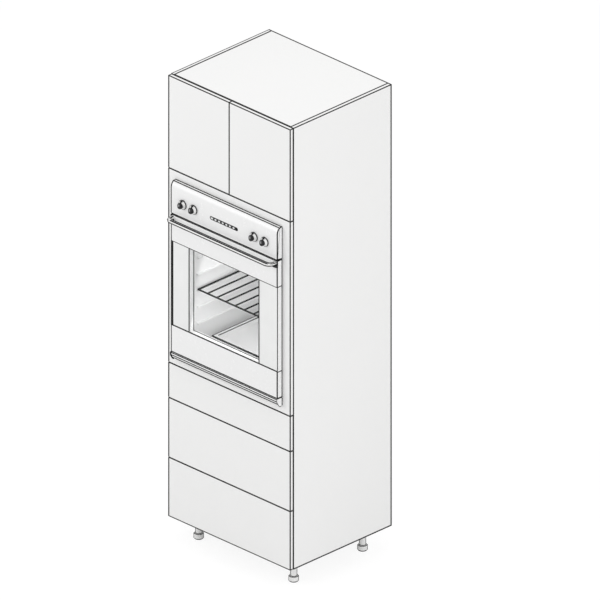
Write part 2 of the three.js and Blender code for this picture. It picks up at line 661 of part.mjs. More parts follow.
// Plan of the door slab, with its front edges rounded.
function slabOutline() {
  const r = DOOR_EDGE_RADIUS;
  return [
    ...arc(-OVEN_HALF + r, Y_OVEN + r, r, 180, 270, 4),
    ...arc(OVEN_HALF - r, Y_OVEN + r, r, 270, 360, 4),
    [OVEN_HALF, Y_OVEN + DOOR_SLAB], [-OVEN_HALF, Y_OVEN + DOOR_SLAB],
  ];
}

// Room for one hinge arm: a notch in the lower back corner, and a cross hole for the pin.
function hingeRoom(side) {
  const x0 = side > 0 ? ARM_X[0] : -ARM_X[1];
  const x1 = side > 0 ? ARM_X[1] : -ARM_X[0];
  return [
    box(x0 - ARM_PLAY, x1 + ARM_PLAY, PIVOT_Y - PIN_RADIUS - ARM_PLAY, Y_OVEN + DOOR_SLAB + 1,
      OVEN_DOOR_BOTTOM - 1, PIVOT_Z + PIN_RADIUS + ARM_PLAY),
    bar(PIN_RADIUS + PIN_PLAY, x0 - PIN_REACH - PIN_PLAY, x1 + PIN_REACH + PIN_PLAY)
      .rotateY(Math.PI / 2).translate(0, PIVOT_Y, PIVOT_Z),
  ];
}

// The door is a folded sheet casing. These are its hollows: the lower band is open
// underneath, the upper band through vent slots in its top edge, and the sides to the front,
// behind the outer glass. Each hollow runs on into the plug.
function doorHollows() {
  const t = DOOR_SHEET;
  const slabBack = Y_OVEN + DOOR_SLAB - t;
  const plugFront = slabBack - 1;
  const plugBack = Y_OVEN + DOOR_SLAB + DOOR_PLUG - t;
  const plugHalf = DOOR_PLUG_HALF - t;
  const low = WINDOW_BOTTOM - STILE_EDGE;
  const high = WINDOW_TOP + STILE_EDGE;
  const stile = WINDOW_WIDTH / 2 + STILE_EDGE;
  const sideBottom = WINDOW_BOTTOM + HOLLOW_EDGE;
  const sideTop = WINDOW_TOP - HOLLOW_EDGE;
  const hollows = [
    box(-HINGE_BAY_HALF, HINGE_BAY_HALF, Y_OVEN + t, slabBack, OVEN_DOOR_BOTTOM - 1, low),
    box(-plugHalf, plugHalf, plugFront, plugBack, DOOR_PLUG_BOTTOM + t, low),
    box(-OVEN_HALF + HOLLOW_EDGE, OVEN_HALF - HOLLOW_EDGE, Y_OVEN + t, slabBack,
      high, OVEN_DOOR_TOP - HOLLOW_EDGE),
    box(-plugHalf, plugHalf, plugFront, plugBack, high, DOOR_PLUG_TOP - t),
  ];
  [-1, 1].forEach((side) => {
    const edges = (a, b) => (side > 0 ? [a, b] : [-b, -a]);
    hollows.push(
      box(...edges(stile, OVEN_HALF - HOLLOW_EDGE), Y_OVEN + GLASS_RECESS + GLASS_THICK, slabBack,
        sideBottom, sideTop),
      box(...edges(stile, plugHalf), plugFront, plugBack, sideBottom, sideTop),
    );
  });
  for (let i = 0; i < VENT_COUNT; i += 1) {
    const x = (i - (VENT_COUNT - 1) / 2) * VENT_PITCH;
    hollows.push(box(x - VENT_LENGTH / 2, x + VENT_LENGTH / 2, Y_OVEN + VENT_FROM_FACE,
      Y_OVEN + VENT_FROM_FACE + VENT_WIDTH, OVEN_DOOR_TOP - HOLLOW_EDGE - 1, OVEN_DOOR_TOP + 1));
  }
  return hollows;
}

function addOvenDoor() {
  const door = new THREE.Group();
  unit.add(door);
  const doorBack = Y_OVEN + DOOR_SLAB + DOOR_PLUG;
  const windowHalf = WINDOW_WIDTH / 2;
  const outerGlassY = Y_OVEN + GLASS_RECESS;
  const rebate = GLASS_REBATE;
  const blank = solid(raised(slabOutline(), OVEN_DOOR_BOTTOM, OVEN_DOOR_TOP))
    .add(solid(box(-DOOR_PLUG_HALF, DOOR_PLUG_HALF, Y_OVEN + DOOR_SLAB - 1, doorBack,
      DOOR_PLUG_BOTTOM, DOOR_PLUG_TOP)));
  const frame = cut(
    blank,
    box(-OVEN_HALF + SIDE_SKIN, OVEN_HALF - SIDE_SKIN, Y_OVEN - 1,
      outerGlassY + GLASS_THICK + TOUCH, WINDOW_BOTTOM, WINDOW_TOP),
    box(-windowHalf, windowHalf, Y_OVEN - 1, doorBack + 1,
      WINDOW_BOTTOM + DOOR_LIP, WINDOW_TOP - DOOR_LIP),
    box(-windowHalf - rebate, windowHalf + rebate, doorBack - GLASS_THICK - TOUCH, doorBack + 1,
      WINDOW_BOTTOM + DOOR_LIP - rebate, WINDOW_TOP - DOOR_LIP + rebate),
    ...hingeRoom(1),
    ...hingeRoom(-1),
    ...doorHollows(),
  );
  piece('oven_door_frame', frame, ENAMEL_WHITE, [0, 0, 0], door);

  const glassHalf = OVEN_HALF - SIDE_SKIN - TOUCH;
  piece('oven_door_outer_glass', box(-glassHalf, glassHalf, outerGlassY, outerGlassY + GLASS_THICK,
    WINDOW_BOTTOM + TOUCH, WINDOW_TOP - TOUCH), GLASS_PANE, [0, 0, 0], door);
  const innerHalf = windowHalf + rebate - TOUCH;
  piece('oven_door_inner_glass', box(-innerHalf, innerHalf, doorBack - GLASS_THICK, doorBack,
    WINDOW_BOTTOM + DOOR_LIP - rebate + TOUCH, WINDOW_TOP - DOOR_LIP + rebate - TOUCH),
  GLASS_PANE, [0, 0, 0], door);
  piece('oven_door_handle', handleShape(), PALE_PLASTIC, [0, 0, 0], door);
}

// Bow handle: one bar the width of the door, its ends curved back to the door's face and
// spread there into a foot.
function handleShape() {
  const front = Y_OVEN - HANDLE_PROUD;
  const root = Y_OVEN - TOUCH;
  const x = OVEN_HALF;
  const R = HANDLE_CORNER;
  const r = R - HANDLE_THICK;
  const plan = [
    [-x, root], ...arc(-x + R, front + R, R, 180, 270, 6),
    ...arc(x - R, front + R, R, 270, 360, 6), [x, root], [x - HANDLE_THICK, root],
    ...arc(x - R, front + R, r, 0, -90, 6), ...arc(-x + R, front + R, r, 270, 180, 6),
    [-x + HANDLE_THICK, root],
  ];
  const grip = raised(plan, HANDLE_TOP - HANDLE_HEIGHT, HANDLE_TOP);
  const feet = [-1, 1].map((side) => {
    const x0 = side > 0 ? x - HANDLE_THICK : -x;
    return box(x0, x0 + HANDLE_THICK, root - HANDLE_FOOT_DEPTH, root,
      HANDLE_TOP - HANDLE_FOOT_HEIGHT, HANDLE_TOP);
  });
  return join(grip, ...feet);
}

// Hinge arm: a plate on the front of the oven body, an arm forward, and the pin.
function addOvenHinges() {
  [['left', -1], ['right', 1]].forEach(([hand, side]) => {
    const x0 = side > 0 ? ARM_X[0] : -ARM_X[1];
    const x1 = side > 0 ? ARM_X[1] : -ARM_X[0];
    const root = CAVITY_FRONT - TOUCH;
    const arm = join(
      box(x0, x1, PIVOT_Y, root, PIVOT_Z - PIN_RADIUS, PIVOT_Z + PIN_RADIUS),
      box(x0 - PIN_REACH, x1 + PIN_REACH, root - ARM_PLATE, root,
        PIVOT_Z - ARM_PLATE_DOWN, PIVOT_Z + ARM_PLATE_UP),
      bar(PIN_RADIUS, x0 - PIN_REACH, x1 + PIN_REACH).rotateY(Math.PI / 2)
        .translate(0, PIVOT_Y, PIVOT_Z),
    );
    piece(`oven_door_hinge_${hand}`, arm, STEEL);
  });
}

// ---- The whole unit -----------------------------------------------------------------------

addCarcass();
addLegs();
addDoor('left', -1);
addDoor('right', 1);
DRAWERS.forEach(addDrawer);
addOvenBody();
addRack();
addTray();
addControlPanel();
addKnobs();
addOvenDoor();
addOvenHinges();

export default unit;
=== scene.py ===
import math

import bmesh
import bpy
import numpy as np
from mathutils import Euler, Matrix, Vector


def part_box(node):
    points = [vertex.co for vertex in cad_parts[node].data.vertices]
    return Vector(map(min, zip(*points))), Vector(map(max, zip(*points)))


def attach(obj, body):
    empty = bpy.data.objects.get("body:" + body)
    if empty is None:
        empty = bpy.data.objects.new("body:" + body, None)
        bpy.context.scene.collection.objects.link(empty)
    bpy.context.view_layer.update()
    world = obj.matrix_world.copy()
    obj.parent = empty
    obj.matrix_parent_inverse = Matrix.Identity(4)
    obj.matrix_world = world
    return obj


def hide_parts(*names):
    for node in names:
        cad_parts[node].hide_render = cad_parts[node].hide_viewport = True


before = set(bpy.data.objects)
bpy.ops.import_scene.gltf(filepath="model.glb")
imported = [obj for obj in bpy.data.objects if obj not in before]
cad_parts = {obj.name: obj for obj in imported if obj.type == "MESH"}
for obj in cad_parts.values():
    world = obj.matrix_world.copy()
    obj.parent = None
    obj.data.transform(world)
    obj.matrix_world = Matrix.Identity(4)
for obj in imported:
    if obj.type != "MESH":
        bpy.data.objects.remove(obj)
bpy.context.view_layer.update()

# ---- Measures ----

MM = 0.001
SIDES = (("left", -1), ("right", 1))
DRAWERS = ("top", "middle", "bottom")

# The drawing is an orthographic view. These place it on a frame of 600 by 600 pixels. The
# scale is 0.2% above the drawing's own, because the edge bands lie inside the outline.
FRAME_PX = 600
PX_PER_M = 227.6
AZIMUTH = math.radians(45.0)
ELEVATION = math.radians(26.71)
ORIGIN_PX = (273.59, 546.92)  # where the origin falls, from the frame's top left
CAMERA_DISTANCE = 8.0


def corners(node):
    """Lowest and highest corner of a CAD node, as arrays in metres."""
    low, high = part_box(node)
    return np.array(low), np.array(high)


def middle_of(node):
    """Middle of a CAD node's box, as an array in metres."""
    low, high = corners(node)
    return (low + high) / 2


def mm(x, y, z):
    """A step given in millimetres, as an array in metres."""
    return np.array([x, y, z]) * MM


def placed(name, data):
    """A new object in the scene, at the origin."""
    made = bpy.data.objects.new(name, data)
    bpy.context.scene.collection.objects.link(made)
    return made


PANEL_LOW, PANEL_HIGH = corners("control_panel")
DOOR_LOW, DOOR_HIGH = corners("oven_door_frame")
GLASS_LOW, GLASS_HIGH = corners("oven_door_outer_glass")
CAVITY_LOW, CAVITY_HIGH = corners("oven_cavity")
HANDLE_LOW, HANDLE_HIGH = corners("oven_door_handle")
SIDE_LOW, SIDE_HIGH = corners("side_panel_right")
INNER_GLASS_HIGH = corners("oven_door_inner_glass")[1]
OVEN_Y = PANEL_LOW[1]
OVEN_HALF = PANEL_HIGH[0]
OVEN_BACK = PANEL_HIGH[1]
WINDOW_HALF = INNER_GLASS_HIGH[0] - 7.7 * MM
DOOR_SLAB = 30.5 * MM  # the door's thickness without its hinges
MOUTH_BOTTOM, MOUTH_TOP = 1.004, 1.56  # the oven's mouth, and its ceiling

# ---- Node materials ----


def feed(tree, node, inputs):
    """Sets a node's inputs, by name or number, to values or to other nodes' outputs."""
    for key, value in inputs.items():
        if isinstance(value, bpy.types.NodeSocket):
            tree.links.new(value, node.inputs[key])
        else:
            node.inputs[key].default_value = value


def add(tree, kind, inputs=None, **settings):
    """A new shader node of a kind, with its settings and its inputs."""
    node = tree.nodes.new("ShaderNode" + kind)
    for key, value in settings.items():
        setattr(node, key, value)
    feed(tree, node, inputs or {})
    return node


def material(name):
    """A new node material, as (material, tree, principled shader, object coordinates)."""
    made = bpy.data.materials.new(name)
    made.use_nodes = True
    tree = made.node_tree
    point = add(tree, "TexCoord").outputs["Object"]
    return made, tree, tree.nodes["Principled BSDF"], point


def math_node(tree, operation, a, b=0.0):
    return add(tree, "Math", {0: a, 1: b}, operation=operation).outputs[0]


def vector_node(tree, operation, a, b):
    return add(tree, "VectorMath", {0: a, 1: b}, operation=operation).outputs[0]


def noise(tree, point, scale, detail=2.0, roughness=0.5):
    inputs = {"Vector": point, "Scale": scale, "Detail": detail, "Roughness": roughness}
    return add(tree, "TexNoise", inputs).outputs["Fac"]


def blend_colour(tree, factor, first, second):
    """First colour where the factor is 0, second where it is 1."""
    inputs = {0: factor, 6: first, 7: second}
    return add(tree, "Mix", inputs, data_type="RGBA").outputs[2]


def ranged(tree, value, low, high, to_low, to_high):
    inputs = {0: value, 1: low, 2: high, 3: to_low, 4: to_high}
    return add(tree, "MapRange", inputs).outputs[0]


def bump(tree, shader, height, depth):
    """Raises the surface by height, a value from 0 to 1, times depth in mm."""
    inputs = {"Height": height, "Distance": depth * MM, "Strength": 1.0}
    feed(tree, shader, {"Normal": add(tree, "Bump", inputs).outputs[0]})


def set_surface(tree, shader, tone, texture, rough, depth, more=None):
    """Gives a shader its colour, a roughness that goes between two values as the texture
    goes from 0.3 to 0.7, that texture as relief, depth mm high, and any more inputs."""
    inputs = {"Base Color": tone, "Roughness": ranged(tree, texture, 0.3, 0.7, *rough)}
    feed(tree, shader, {**inputs, **(more or {})})
    bump(tree, shader, texture, depth)


def colour(*parts):
    """An opaque colour from one grey part, or from red, green and blue."""
    return (parts * 3)[:3] + (1.0,)


def edge_lines(tree, point, low, high, widths):
    """1 along a box's edges. Of the three distances to the nearest face along X, Y and Z, one
    is 0 on the surface, and the middle one is the distance to the nearest edge. Each distance
    counts in line widths of its own face, given in mm as (low X, high X, low Y, high Y,
    low Z, high Z), so that each edge has a line of its own width."""
    widths = np.array(widths, float) * MM
    from_low = vector_node(tree, "SUBTRACT", point, tuple(low))
    from_high = vector_node(tree, "SUBTRACT", tuple(high), point)
    near = vector_node(tree, "MINIMUM",
                       vector_node(tree, "MULTIPLY", from_low, tuple(1 / widths[0::2])),
                       vector_node(tree, "MULTIPLY", from_high, tuple(1 / widths[1::2])))
    split = add(tree, "SeparateXYZ", {0: near})
    x, y, z = (split.outputs[i] for i in range(3))
    small = math_node(tree, "MINIMUM", x, y)
    large = math_node(tree, "MAXIMUM", x, y)
    middle = math_node(tree, "MAXIMUM", small, math_node(tree, "MINIMUM", large, z))
    return ranged(tree, middle, 0.88, 1.0, 1.0, 0.0)


LINE_BLACK = colour(0.008)


def lacquered_board(name, low, high, widths):
    """Satin white lacquer, sprayed with a faint orange peel, over a board with thin black
    edge bands that show as a line along each arris."""
    made, tree, shader, point = material(name)
    cloud = noise(tree, point, 3.0, 3.0)
    white = blend_colour(tree, cloud, colour(0.88, 0.88, 0.8756), colour(0.8932, 0.8932, 0.8888))
    tone = blend_colour(tree, edge_lines(tree, point, low, high, widths), white, LINE_BLACK)
    set_surface(tree, shader, tone, noise(tree, point, 420.0), (0.34, 0.43), 0.02,
                {"Specular IOR Level": 0.25})
    return made


def melamine_board(name, low, high, widths):
    """Matt white melamine with a fine pressed grain, and a dark line at its edges."""
    made, tree, shader, point = material(name)
    grain = noise(tree, point, 900.0, 3.0, 0.7)
    white = blend_colour(tree, grain, colour(0.8, 0.8, 0.79), colour(0.86, 0.86, 0.85))
    tone = blend_colour(tree, edge_lines(tree, point, low, high, widths), white, colour(0.05))
    set_surface(tree, shader, tone, grain, (0.5, 0.62), 0.03)
    return made


def gloss_enamel(name, tone, speckle=0.0, gloss=0.22, lines=None, coat=0.25, shine=0.5):
    """Fired enamel: a hard gloss coat over pale steel, with a slow ripple and, in an oven,
    small grey speckles. lines is (low, high, widths) of black lines along a box's edges."""
    made, tree, shader, point = material(name)
    ripple = noise(tree, point, 60.0)
    base = blend_colour(tree, ripple, colour(tone * 0.985), colour(tone))
    if speckle:
        cells = add(tree, "TexVoronoi", {"Vector": point, "Scale": 260.0})
        dots = ranged(tree, cells.outputs["Distance"], 0.12, 0.2, speckle, 0.0)
        base = blend_colour(tree, dots, base, colour(0.12, 0.13, 0.14))
    if lines:
        base = blend_colour(tree, edge_lines(tree, point, *lines), base, LINE_BLACK)
    set_surface(tree, shader, base, ripple, (gloss, gloss + 0.06), 0.012,
                {"Specular IOR Level": shine, "Coat Weight": coat, "Coat Roughness": 0.08})
    return made


def rolled_steel(name, tone=0.62, scale=(900.0, 14.0, 14.0)):
    """Zinc-plated steel: metal with fine rolling lines along one direction and a soft bloom."""
    made, tree, shader, point = material(name)
    stretched = add(tree, "Mapping", {"Vector": point, "Scale": scale}).outputs[0]
    lines = noise(tree, stretched, 1.0, 3.0, 0.6)
    metal = blend_colour(tree, noise(tree, point, 25.0, 3.0),
                         colour(tone * 0.9, tone * 0.91, tone * 0.93),
                         colour(tone * 1.08, tone * 1.09, tone * 1.1))
    set_surface(tree, shader, metal, lines, (0.26, 0.44), 0.01, {"Metallic": 1.0})
    return made


def powder_coat(name, tone):
    """Powder-coated steel: fine even pimples in a half-matt pale coat."""
    made, tree, shader, point = material(name)
    pimples = noise(tree, point, 1400.0)
    pale = blend_colour(tree, pimples, colour(tone * 0.96), colour(tone))
    set_surface(tree, shader, pale, pimples, (0.42, 0.55), 0.04)
    return made


def moulded_plastic(name, tint, gloss=0.4, spark=700.0, shine=0.5):
    """Moulded plastic with a fine spark-eroded texture and a slight drift of tone."""
    made, tree, shader, point = material(name)
    pits = noise(tree, point, spark, 3.0, 0.6)
    darker = tuple(c * 0.93 for c in tint[:3]) + (1.0,)
    tone = blend_colour(tree, noise(tree, point, 12.0), darker, tint)
    set_surface(tree, shader, tone, pits, (gloss - 0.06, gloss + 0.08), 0.03,
                {"Specular IOR Level": shine})
    return made


def clear_glass(name, alpha):
    """Float glass, mostly see-through, with faint waviness."""
    made, tree, shader, point = material(name)
    wave = noise(tree, point, 8.0, 1.0)
    tone = blend_colour(tree, wave, colour(0.3, 0.33, 0.325), colour(0.34, 0.37, 0.365))
    feed(tree, shader, {"Base Color": tone, "Roughness": 0.03, "IOR": 1.5, "Alpha": alpha})
    bump(tree, shader, wave, 0.02)
    return made


SATIN_ENAMEL = gloss_enamel("white_enamel", 0.88)
CAVITY_ENAMEL = gloss_enamel("cavity_enamel", 0.9, speckle=0.12, gloss=0.32)
TRAY_ENAMEL = gloss_enamel("tray_enamel", 0.88, speckle=0.1, gloss=0.28)
BLACK_ENAMEL = gloss_enamel("black_enamel", 0.006, gloss=0.4, coat=0.0, shine=0.15)
ZINC = rolled_steel("zinc_steel")
BRIGHT_STEEL = rolled_steel("bright_steel", 0.74, (30.0, 900.0, 30.0))
SIDE_COAT = powder_coat("drawer_side_coat", 0.78)
EDGE_PAINT = moulded_plastic("black_edge_band", colour(0.008), 0.55, shine=0.15)
BLACK_PLASTIC = moulded_plastic("black_plastic", colour(0.009, 0.009, 0.01), 0.4, shine=0.3)
BLACK_RUBBER = moulded_plastic("black_rubber", colour(0.006), 0.62, 300.0, 0.15)
GREY_PLASTIC = moulded_plastic("grey_plastic", colour(0.36, 0.36, 0.37), 0.45)
GRIP_GREY = moulded_plastic("grip_grey", colour(0.2, 0.2, 0.205), 0.5, shine=0.3)
PALE_PLASTIC = moulded_plastic("pale_plastic", colour(0.86, 0.86, 0.855), 0.34)
LEG_NYLON = moulded_plastic("leg_nylon", colour(0.94, 0.94, 0.935), 0.5)
LENS_PLASTIC = moulded_plastic("lens_plastic", colour(0.82, 0.83, 0.83), 0.15, 200.0)
WHITE_PRINT = moulded_plastic("white_glass_print", colour(0.88, 0.885, 0.88), 0.2, 200.0)
OUTER_PANE = clear_glass("outer_pane", 0.02)
INNER_PANE = clear_glass("inner_pane", 0.02)

# ---- Surfaces on grids ----


def grid_piece(name, points, body, finish, closed=False, caps=(True, True), smooth=True):
    """A mesh through an (m, n, 3) array of points: quads between neighbours, each row joined
    round, the last row joined to the first where closed is set, and flat faces over the
    first and the last row where caps says so. Its faces are turned outwards."""
    m, n = points.shape[:2]
    index = np.arange(m * n).reshape(m, n)
    rows = np.vstack([index, index[:1]]) if closed else index
    rows = np.hstack([rows, rows[:, :1]])
    quads = np.stack([rows[:-1, :-1], rows[:-1, 1:], rows[1:, 1:], rows[1:, :-1]], -1)
    ends = [index[0][::-1].tolist()] * caps[0] + [index[-1].tolist()] * caps[1]
    mesh = bpy.data.meshes.new(name)
    mesh.from_pydata(points.reshape(-1, 3).tolist(), [], quads.reshape(-1, 4).tolist() + ends)
    work = bmesh.new()
    work.from_mesh(mesh)
    bmesh.ops.remove_doubles(work, verts=work.verts, dist=1e-7)
    bmesh.ops.recalc_face_normals(work, faces=work.faces)
    work.to_mesh(mesh)
    work.free()
    mesh.polygons.foreach_set("use_smooth", np.full(len(mesh.polygons), smooth))
    mesh.materials.append(finish)
    piece = placed(name, mesh)
    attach(piece, body)
    if smooth:
        mesh.set_sharp_from_angle(angle=math.radians(38.0))
    return piece


def face_middles(piece):
    """The X, Y and Z of the middles of a piece's faces."""
    middles = np.empty(len(piece.data.polygons) * 3)
    piece.data.polygons.foreach_get("center", middles)
    return middles.reshape(-1, 3).T


def within(values, low, high):
    """Which values, in metres, lie between two limits in mm."""
    return (values > low * MM) & (values < high * MM)


def paint(piece, chosen, finish=EDGE_PAINT):
    """Gives another finish to the chosen faces: chosen has a truth value for each face."""
    mesh = piece.data
    slots = np.empty(len(mesh.polygons), int)
    mesh.polygons.foreach_get("material_index", slots)
    mesh.materials.append(finish)
    slots[chosen] = len(mesh.materials) - 1
    mesh.polygons.foreach_set("material_index", slots)


def joined(name, pieces):
    """One piece made of several, on the first one's body, in its material slot."""
    if len(pieces) > 1:
        for piece in bpy.context.selected_objects:
            piece.select_set(False)
        for piece in pieces:
            piece.select_set(True)
        bpy.context.view_layer.objects.active = pieces[0]
        bpy.ops.object.join()
    pieces[0].name = name
    pieces[0].data.name = name


def on_axis(axis, across, up, along):
    """Points with the third coordinate along an axis, X, Y or Z, and the other two across it,
    in their order in X, Y, Z."""
    order = {"X": (along, across, up), "Y": (across, along, up), "Z": (across, up, along)}
    return np.stack(order[axis], -1)


def loop_at(outline, axis, level):
    """A flat outline as points in space, all at one level along an axis."""
    return on_axis(axis, outline[:, 0], outline[:, 1], np.full(len(outline), level))


def turned(name, profile, centre, axis, body, finish, sides):
    """A lathe piece: each (radius, height) of the profile, in mm, is carried round the axis,
    X, Y or Z, through centre. The height runs along the axis."""
    profile = np.array(profile, float) * MM
    angle = np.linspace(0, 2 * np.pi, sides, endpoint=False)
    across = profile[:, :1] * np.cos(angle)
    up = profile[:, :1] * np.sin(angle)
    height = np.broadcast_to(profile[:, 1:], across.shape)
    return grid_piece(name, on_axis(axis, across, up, height) + np.array(centre), body, finish)


def arc_points(centre, radius, start, stop, count):
    """Points on a circular arc between two angles in degrees."""
    angle = np.radians(np.linspace(start, stop, count))
    return np.stack([centre[0] + radius * np.cos(angle), centre[1] + radius * np.sin(angle)], -1)


def rounded_rectangle(half_a, half_b, radius, steps):
    """Outline of a rectangle about (0, 0) whose corners are arcs, anticlockwise."""
    a = half_a - radius
    b = half_b - radius
    quarters = [((a, b), 0), ((-a, b), 90), ((-a, -b), 180), ((a, -b), 270)]
    return np.vstack([arc_points(c, radius, s, s + 90, steps) for c, s in quarters])


def outward(outline):
    """Unit vectors square to a closed anticlockwise outline, pointing out of it."""
    along = np.roll(outline, -1, 0) - np.roll(outline, 1, 0)
    normal = np.stack([along[:, 1], -along[:, 0]], -1)
    return normal / np.maximum(np.linalg.norm(normal, axis=1, keepdims=True), 1e-9)


def drawn_out(name, outline, start, stop, axis, body, finish, ease, lines=None):
    """An anticlockwise outline carried straight along an axis, its two ends rounded over:
    near each end the outline draws in by ease times (1 - cos t) as it advances by sin t.
    lines gives the widths in mm of black bands: round the start, round the stop, and along
    the rim of both end faces."""
    t = np.linspace(0, np.pi / 2, 4)
    lead = start + ease * (1 - np.sin(t[::-1]))
    inset = ease * (1 - np.cos(t[::-1]))
    places = np.concatenate([lead, stop + start - lead[::-1]])
    insets = np.concatenate([inset, inset[::-1]])
    if lines:
        half = len(lead)
        first, last, rim = (width * MM for width in lines)
        places = np.concatenate([[start], places[:half], [start + first, stop - last],
                                 places[half:], [stop]])
        insets = np.concatenate([[rim], inset, [0, 0], inset[::-1], [rim]])
    flat = outline[None] - insets[:, None, None] * outward(outline)[None]
    along = np.broadcast_to(places[:, None], flat.shape[:2])
    piece = grid_piece(name, on_axis(axis, flat[..., 0], flat[..., 1], along), body, finish)
    if lines:
        sides = np.empty(len(piece.data.polygons), int)
        piece.data.polygons.foreach_get("loop_total", sides)
        middle = face_middles(piece)["XYZ".index(axis)]
        near_end = (middle < start + first) | (middle > stop - last)
        paint(piece, near_end & (sides == 4))
    return piece


def block(name, low, high, body, finish, ease):
    """A cuboid between any two opposite corners, with every edge rounded over by ease mm: a
    rounded rectangle carried along Z."""
    low, high = np.minimum(low, high), np.maximum(low, high)
    middle = (low + high) / 2
    half = (high - low) / 2
    ease = min(ease * MM, half.min() * 0.9)
    outline = rounded_rectangle(half[0], half[1], ease, 3) + middle[:2]
    return drawn_out(name, outline, low[2], high[2], "Z", body, finish, ease)


def fitting(name, low, high, body, finish, ease=0.8):
    """A block that is a piece of its own, in its material slot."""
    block(name, low, high, body, finish, ease)


def tube(name, path, radius, body, finish, sides, closed=False):
    """A round bar along a path of points: at each point a circle stands square to the path."""
    path = np.array(path, float)
    ahead = np.roll(path, -1, 0) - np.roll(path, 1, 0)
    if not closed:
        ahead[0] = path[1] - path[0]
        ahead[-1] = path[-1] - path[-2]
    ahead /= np.linalg.norm(ahead, axis=1, keepdims=True)
    up = np.eye(3)[int(np.argmin(np.ptp(path, axis=0)))]
    side = np.cross(ahead, up)
    side /= np.linalg.norm(side, axis=1, keepdims=True)
    angle = np.linspace(0, 2 * np.pi, sides, endpoint=False)
    ring = np.cos(angle)[None, :, None] * side[:, None] + np.sin(angle)[None, :, None] * up
    return grid_piece(name, path[:, None] + radius * ring, body, finish, closed,
                      (not closed, not closed))


def screws(name, places, radius, body, facing="+Y", finish=BRIGHT_STEEL):
    """Round screw heads with a shallow recess, one at each place, as one piece. Radius in mm."""
    sign = -1 if facing[0] == "-" else 1
    profile = [(0.3, 0.25), (0.45, 0.25), (0.5, 0.9), (0.8, 0.95), (0.95, 0.6), (1.0, 0.0)]
    profile = [(r * radius, sign * h * radius * 0.45) for r, h in profile]
    heads = [turned(f"{name}_{i}", profile, place, facing[1], body, finish, 16)
             for i, place in enumerate(places)]
    joined(name, heads)


# ---- Boards ----

# Widths of the dark lines along the edges of boards and sheets, in mm.
AT_GAP = 2.5  # beside a gap between two fronts
AT_STANDOFF = 3.6  # on the fronts, beside the gap between them and the carcass
BEHIND_GAP = 2.6  # on the carcass, beside the same gap
UPRIGHT = 4.6  # beside the unit's front right corner, on its front
LEFT = 8.4  # the same on the left, where the other side of the corner never shows
LEFT_TOP = 6.4  # on the left side panel, beside its outer face
RETURN = 4.2  # on the narrow faces that turn the corner
BACK = 9.0  # beside the unit's back edges
LOWER = 7.6  # along the bottom edges of the side panels
LOWEST_FRONT = 6.0  # along the bottom edge of the bottom drawer's front
INLAID = 4.4  # where the top panel lies between the side panels
TOP_FRONT = 6.5  # along the top panel's front edge
SHEET = 5.0  # on the oven's sheets: the door's right and bottom edges, the trim's left end
SHEET_BACK = 4.6  # along the oven door's back edges
SHEET_TOP = 1.2  # along the oven door's top edge
PANEL_LEFT = 7.0  # round the control panel's left end

FULL_FRONT = (LEFT, UPRIGHT, RETURN, AT_STANDOFF, AT_GAP, AT_GAP)
LACQUERED = {
    "door_left": (LEFT, AT_GAP, RETURN, AT_STANDOFF, AT_GAP, RETURN),
    "door_right": (AT_GAP, UPRIGHT, RETURN, AT_STANDOFF, AT_GAP, RETURN),
    "oven_frame_panel": FULL_FRONT,
    "drawer_top_front": FULL_FRONT,
    "drawer_middle_front": FULL_FRONT,
    "drawer_bottom_front": (LEFT, UPRIGHT, RETURN, AT_STANDOFF, LOWEST_FRONT, AT_GAP),
    "side_panel_left": (LEFT_TOP, INLAID, BEHIND_GAP, BACK, LOWER, RETURN),
    "side_panel_right": (INLAID, RETURN, BEHIND_GAP, BACK, LOWER, RETURN),
    "top_panel": (INLAID, INLAID, TOP_FRONT, BACK, RETURN, RETURN),
    "bottom_panel": (INLAID, INLAID, RETURN, RETURN, RETURN, RETURN),
}
MELAMINE = ["upper_deck", "oven_deck", "back_panel"]
MELAMINE += [f"drawer_{label}_{board}" for label in DRAWERS for board in ("back", "bottom")]


def set_finish(node, finish):
    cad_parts[node].data.materials.clear()
    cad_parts[node].data.materials.append(finish)


def ease_edges(node, width):
    """Joins a CAD node's loose triangles and rounds its edges over."""
    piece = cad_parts[node]
    weld = piece.modifiers.new("weld", "WELD")
    weld.merge_threshold = 0.01 * MM
    rounding = piece.modifiers.new("rounding", "BEVEL")
    rounding.width = width
    rounding.segments = 2
    rounding.limit_method = "ANGLE"
    rounding.angle_limit = math.radians(40)
    rounding.use_clamp_overlap = True


def dress_boards():
    for node, widths in LACQUERED.items():
        set_finish(node, lacquered_board(f"lacquer_{node}", *corners(node), widths))
        ease_edges(node, 0.6 * MM)
    for node in MELAMINE:
        set_finish(node, melamine_board(f"melamine_{node}", *corners(node), (RETURN,) * 6))
        ease_edges(node, 0.4 * MM)


def dress_metal():
    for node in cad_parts:
        if "_rail_" in node or node.startswith(("hinge_", "oven_door_hinge")):
            set_finish(node, ZINC)
        elif "_side_left" in node or "_side_right" in node:
            set_finish(node, SIDE_COAT)
    set_finish("oven_casing", ZINC)
    set_finish("oven_cavity", CAVITY_ENAMEL)
    slab_high = np.array([DOOR_HIGH[0], OVEN_Y + DOOR_SLAB, DOOR_HIGH[2]])
    lines = (DOOR_LOW, slab_high, (LEFT, SHEET, RETURN, SHEET_BACK, SHEET, SHEET_TOP))
    enamel = gloss_enamel("door_enamel", 0.88, lines=lines, coat=0.1, shine=0.3)
    set_finish("oven_door_frame", enamel)
    set_finish("oven_door_outer_glass", OUTER_PANE)
    set_finish("oven_door_inner_glass", INNER_PANE)


# ---- Oven: control panel, trim, knobs, indicator strip ----


